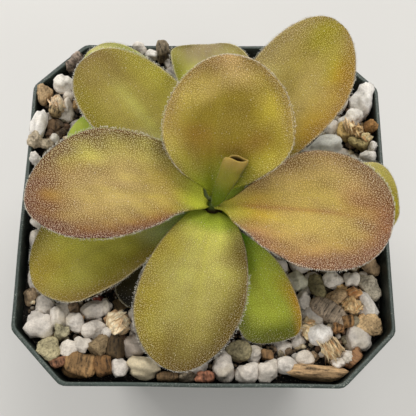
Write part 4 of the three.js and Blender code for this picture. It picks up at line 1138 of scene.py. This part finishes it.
# closed blade: the middle surface moved up and down along its normal by half the thickness, which
# falls to nothing at every edge, with relief on both faces; root is how far it runs on below s = 0
def makeBlade(surface, rows, columns, relief, thickness, tipped, root):
    i, j = np.arange(rows + 1) / rows, 2 * np.arange(columns + 1) / columns - 1
    alongPlace = (1 + root) * (np.sin(np.pi / 2 * i) if tipped else i) - root
    acrossPlace = 0.75 * np.sin(np.pi / 2 * j) + 0.25 * j
    s, v = np.meshgrid(alongPlace, acrossPlace, indexing="ij")
    middle = surface(s, v)
    normal = surfaceNormals(surface, s, v)
    calm = (1 - np.maximum(s, 0) ** 40) if tipped else 1
    half = thickness(s, v) / 2 * np.sqrt(np.maximum(1 - np.abs(v) ** 22, 0))
    fromFoot = 1 - (s + root) / (1 + root)
    half = half * np.sqrt(np.maximum(1 - np.maximum(s, 0) ** 70, 0) * np.maximum(1 - fromFoot ** 70, 0))
    raised = middle + normal * (relief(s, v, middle) * calm)[..., None]
    return s, v, raised + normal * half[..., None], raised - normal * half[..., None], normal, middle


# both faces of a blade as one welded piece, each face a grid of points with its tints
def buildBlade(name, faces, tints, place, material):
    points = np.vstack([face.reshape(-1, 3) for face in faces])
    quads = gridQuads(*faces[0].shape[:2])
    place = place.reshape(-1, 3)
    tint = np.vstack([tint.reshape(-1, 4) for tint in tints])
    buildPiece(name + ".blade", points, [quads[:, ::-1], quads + len(place)], material, [name],
               tint=tint, ownPlace=np.vstack([place, place]), weld=True)


# points spread evenly over a surface grid: cells picked by area, a point drawn in each, and one
# kept for every cube of the spacing
def scatterOver(top, normal, colour, spacing, rng):
    a, b, c, d = top[:-1, :-1], top[1:, :-1], top[1:, 1:], top[:-1, 1:]
    area = np.linalg.norm(np.cross(c - a, d - b), axis=-1) / 2
    count = int(area.sum() / spacing ** 2 * 2.0)
    cell = rng.choice(area.size, count, p=(area / area.sum()).ravel())
    t, u = rng.random((2, count, 1))
    i, j = np.unravel_index(cell, area.shape)
    along = lambda grid, j: mix(grid[i, j], grid[i + 1, j], t)
    blend = lambda grid: mix(along(grid, j), along(grid, j + 1), u)
    place = blend(top)
    keep = np.unique(np.floor(place / spacing).astype(int), axis=0, return_index=True)[1]
    return place[keep], unit(blend(normal)[keep]), blend(colour)[keep]


hair = {
    "length": (0.1, 0.2), "neck": 0.02, "drop": (0.026, 0.05), "lean": 0.25, "sunk": 0.12,  # mm
    "bigShare": 0.05, "bigDrop": (0.06, 0.1), "bigLength": (0.18, 0.3),
    "marginSpacing": 0.085, "marginLength": (0.15, 0.7), "marginNeck": 0.028, "marginDrop": (0.036, 0.07),
    "pale": "#FFF9E8", "marginPale": "#FFF7DC", "whiteWithin": 2.6,
}
# a hair's twelve triangles: under the skin 0, round the neck 1 to 3, round the drop 4 to 6, on top 7
hairFaces = [(0, 2, 1), (0, 3, 2), (0, 1, 3), (1, 2, 5), (1, 5, 4), (2, 3, 6), (2, 6, 5),
             (3, 1, 4), (3, 4, 6), (4, 5, 7), (5, 6, 7), (6, 4, 7)]


# hairs as one piece: a point under the skin, a ring of three at the neck, a ring at the drop and a
# point on top, all along each hair's direction; spin turns the rings
def buildHairs(name, roots, directions, spin, lengths, necks, drops, colours):
    aside = unit(np.cross(directions, unit(spin)))
    other = np.cross(directions, aside)
    angle = 2 * np.pi / 3 * np.arange(3)
    ring = aside[:, None] * np.cos(angle)[None, :, None] + other[:, None] * np.sin(angle)[None, :, None]
    up = directions * lengths[:, None]
    points = np.concatenate([
        (roots - hair["sunk"] * directions)[:, None],
        (roots + 0.55 * up)[:, None] + ring * necks[:, None, None],
        (roots + 0.8 * up)[:, None] + ring * drops[:, None, None],
        (roots + up)[:, None]], 1)
    faces = (np.array(hairFaces)[None] + 8 * np.arange(len(roots))[:, None, None]).reshape(-1, 3)
    buildPiece(name + ".glands", points.reshape(-1, 3), [faces], dewMaterial,
               tint=np.repeat(colours, 8, axis=0))
    return len(faces)


# hairs that stand along the margin, drawn at random round it, pointing outwards and a little up
def marginHairs(surface, s0, rng, reach):
    s = np.sin(np.linspace(s0, 1, 200) * np.pi / 2)
    s = np.concatenate([s, s[::-1][1:]])
    v = np.concatenate([np.full(200, -1.0), np.full(199, 1.0)])
    line = surface(s, v)
    inner = surface(np.minimum(s, 0.985), v * 0.93)
    normal = surfaceNormals(surface, s, v * 0.98)
    length = np.append(0, np.cumsum(np.linalg.norm(np.diff(line, axis=0), axis=1)))
    count = int(length[-1] / hair["marginSpacing"] * reach)
    at = rng.uniform(0, length[-1], count)
    pick = lambda field: np.stack([np.interp(at, length, field[:, k]) for k in range(3)], -1)
    outward = unit(pick(line) - pick(inner))
    upward = pick(normal) * rng.uniform(0.2, 1.9, (count, 1))
    return pick(line), unit(outward + upward + 0.25 * rng.normal(size=(count, 3)))


# a leaf: its blade, and its hairs over the upper face and round the margin
def addLeaf(name, leaf, seed):
    rng = np.random.default_rng(seed)
    rows, columns = leaf["grid"]
    surface = lambda s, v: leafSurface(leaf, s, v)

    # groove along the midrib that fades to the tip, waves of 9 and 3.5 mm, margin rolled up a little
    def relief(s, v, middle):
        across = v * leafHalfWidth(leaf, s, np.sign(v))
        (high, long), (low, short) = blade["waves"]
        return (-leaf["groove"] * np.exp(-(across / blade["grooveWidth"]) ** 2) * np.clip(1 - s, 0, 1) ** 0.7
                + high * ripple(middle, long, seed) + low * ripple(middle, short, seed + 1)
                + blade["marginRoll"] * np.exp(-((1 - np.abs(v)) / 0.07) ** 2))

    thickness = lambda s, v: mix(blade["thick"], blade["thin"], v * v * (1 - s) + s)
    s, v, top, bottom, normal, middle = makeBlade(surface, rows, columns, relief, thickness, True,
                                                  leaf["root"] / leaf["length"])
    tint = bladeTint(leaf, s, v, middle)
    below = np.broadcast_to([*hexColour(leaf["under"]), 0], tint.shape)
    below = mix(below, tint, (0.35 + 0.65 * np.abs(v) ** 12)[..., None])
    halfWidth = leafHalfWidth(leaf, s, np.sign(v))
    place = np.stack([v * halfWidth, s * leaf["length"], v * leaf["width"] / 2], -1)
    buildBlade(name, (top, bottom), (tint, below), place, youngMaterial if leaf["fresh"] else skinMaterial)

    # most drops are small and tinged; one in twenty, and more near the margin, is big and white
    within = hair["whiteWithin"]
    rim = np.exp(-((1 - np.abs(v)) * halfWidth / within) ** 2)
    rim = np.maximum(rim, np.exp(-((1 - s) * leaf["length"] / within) ** 2)) * smooth(s, 0.2, 0.6)
    first = 6  # rows at the foot that stay bare
    roots, ups, under = scatterOver(top[first:], normal[first:], np.dstack([tint[..., :3], rim])[first:],
                                    leaf["hairSpacing"], rng)
    under, rim, count = under[:, :3], under[:, 3], len(roots)
    ups = unit(ups + hair["lean"] * rng.normal(size=ups.shape))
    big = rng.random(count) < hair["bigShare"] + 0.2 * rim
    draw = lambda low, high: rng.uniform(low, high, count)
    lengths = np.where(big, draw(*hair["bigLength"]), draw(*hair["length"]))
    drops = np.where(big, draw(*hair["bigDrop"]), draw(*hair["drop"]) * (1 + 0.7 * rim))
    paler = np.where(big, draw(0.6, 1), draw(0.05, 0.35) + 0.6 * rim)
    edge, outs = marginHairs(surface, leaf["fringeFrom"], rng, 0.5 if rows < commonLeaf["grid"][0] else 1)
    lengths = np.append(lengths, rng.uniform(*hair["marginLength"], len(edge)))
    drops = np.append(drops, rng.uniform(*hair["marginDrop"], len(edge)))
    necks = np.repeat((hair["neck"], hair["marginNeck"]), (count, len(edge)))
    spin = rng.normal(size=(len(lengths), 3))
    pale = np.vstack([mix(under, hexColour(hair["pale"]), paler[:, None]),
                      hexColour(hair["marginPale"]) * rng.uniform(0.8, 1, (len(edge), 1))])
    roots, ups = np.vstack([roots, edge]), np.vstack([ups, outs])
    return buildHairs(name, roots, ups, spin, lengths, necks, drops, pale)


total = sum(addLeaf(name, leaf, 100 + 10 * i) for i, (name, leaf) in enumerate(leaves.items()))
print("leaves done, hair triangles:", total)


# young leaf and crown

young = {
    "base": (2.85, -1.3, 6.0), "azimuth": 56.5, "rise": 49, "length": 10.1, "halfTurn": 158, "twist": 35,
    "baseSize": (1.45, 1.2), "mouthSize": (2.4, 1.3), "lipDrop": 0.06, "lipWave": 0.13, "thickness": 0.34,
    "seam": 60, "tuck": 40, "tuckIn": 0.34,  # one margin runs on behind the other
    "root": 0.33, "rootEnd": (1.9, -1.5, 2.3), "rootGirth": 0.4,  # the foot tapers down into the crown
    # inside is painted shade within the roll
    "grid": (50, 64), "body": "#8A8632", "foot": "#5F7216", "lip": "#A88F4C", "inside": "#2C1E10",
    "blush": 0.25, "hairSpacing": 0.4, "hairDrop": (0.025, 0.04),
}


# rolled leaf: a circle's arc swept up a leaning axis and widening to the mouth, its flat section
# turned about the axis by the twist; past the seam one margin tucks inside the other, and below its
# base it curves to the root's end with the square of the way there
def youngSurface(s, v):
    azimuth, twist = np.radians(young["azimuth"]), np.radians(young["twist"])
    axis = pointing(young["azimuth"], young["rise"])
    flat = np.array([np.sin(azimuth), -np.cos(azimuth), 0])
    front = np.cross(flat, axis)
    side = np.cos(twist) * flat - np.sin(twist) * front
    back = np.cos(twist) * front + np.sin(twist) * flat
    over = smooth(v, 0.55, 1)
    turn = np.radians(young["halfTurn"] + young["tuck"] * over) * v + np.radians(young["seam"])
    # a narrow foot, a shoulder under the lip
    below = np.clip(-s / young["root"], 0, 1)
    girth = mix(0.82, 1, smooth(s, -0.1, 0.35)) * (1 - 0.1 * smooth(s, 0.9, 1))
    size = (1 - young["tuckIn"] * over) * (girth * mix(1, young["rootGirth"], below))
    wide = mix(young["baseSize"][0], young["mouthSize"][0], s) * size * np.sin(turn)
    deep = mix(young["baseSize"][1], young["mouthSize"][1], s) * size * np.cos(turn)
    along = young["length"] * s * (1 - young["lipDrop"] * v * v)
    along += young["lipWave"] * smooth(s, 0.85, 1) * np.sin(9 * v + 1)
    base = np.array(young["base"]) + (0, 0, pot["height"])
    pull = np.array(young["rootEnd"]) - young["base"] + young["root"] * young["length"] * axis
    return (base + along[..., None] * axis + wide[..., None] * side + deep[..., None] * back
            + (below ** 2)[..., None] * pull)


# the rolled leaf: darker inside than out, the inside's darkness painted shade, with small hairs on its outer
# face
def addYoungLeaf():
    name, rng = "leaf_young_rolled", np.random.default_rng(77)
    relief = lambda s, v, middle: 0.03 * ripple(middle, 2.4, 31)
    thickness = lambda s, v: np.full(s.shape, young["thickness"])
    s, v, top, bottom, normal, middle = makeBlade(youngSurface, *young["grid"], relief, thickness, False,
                                                  young["root"])
    body, foot, lip, inner = (hexColour(young[k]) for k in ("body", "foot", "lip", "inside"))
    outer = mix(mix(foot, body, smooth(s, 0.1, 0.6)[..., None]), lip, smooth(s, 0.62, 1.0)[..., None])
    # inside tone: painted shade within the roll
    within = mix(inner, lip, smooth(s, 0.9, 1)[..., None])
    # which face of the sheet looks outwards from the axis
    away = unit(middle - middle.mean(axis=1, keepdims=True))
    facing = (normal * away).sum(-1).mean() > 0
    alpha = np.full(s.shape, young["blush"])
    tints = [np.dstack([tone, alpha]) for tone in ((outer, within) if facing else (within, outer))]
    buildBlade(name, (top, bottom), tints, np.stack([v * 7, s * young["length"], v * 4], -1), youngMaterial)
    skinSide, direction = (top, normal) if facing else (bottom, -normal)
    roots, ups, under = scatterOver(skinSide, direction, outer, young["hairSpacing"], rng)
    count = len(roots)
    ups = unit(ups + 0.2 * rng.normal(size=ups.shape))
    lengths, drops = rng.uniform(*hair["length"], count), rng.uniform(*young["hairDrop"], count)
    necks, spin = np.full(count, hair["neck"]), rng.normal(size=ups.shape)
    pale = mix(under, hexColour(hair["pale"]), rng.uniform(0.1, 0.4, (count, 1)))
    buildHairs(name, roots, ups, spin, lengths, necks, drops, pale)


# stem of the rosette: its profile turned round its middle, fluted by the leaf bases that grow round it
def addCrown():
    profile, rows, sides = np.array(crown["profile"]), crown["rings"], crown["sides"]
    turn = 2 * np.pi * np.arange(sides) / sides
    along = np.linspace(0, len(profile) - 1, rows)
    r, z = (np.interp(along, np.arange(len(profile)), column)[:, None] for column in profile.T)
    flute = 1 + 0.05 * np.cos(6 * turn[None] + 0.35 * z) + 0.02 * np.cos(13 * turn[None] - z)
    x, y = crown["place"]
    points = np.stack([x + r * flute * np.cos(turn), y + r * flute * np.sin(turn),
                       pot["height"] + np.broadcast_to(z, flute.shape)], -1)
    # the stem's lower part is painted near black: painted shade among the leaf bases
    high = smooth(points[..., 2] - pot["height"], 1.9, 2.8)[..., None]
    colour = mix(hexColour(crown["low"]), hexColour(crown["top"]), high)
    tint = np.dstack([colour, np.full(flute.shape, 0.2)])
    everything = np.vstack([points.reshape(-1, 3), points[[0, -1]].mean(1)])
    buildPiece("crownStem", everything, ringFaces(rows, sides), youngMaterial, ["crown"],
               tint=np.vstack([tint.reshape(-1, 4), tint[[0, -1], 0]]), ownPlace=everything)


addYoungLeaf()
addCrown()

# the end
print("all pieces made")
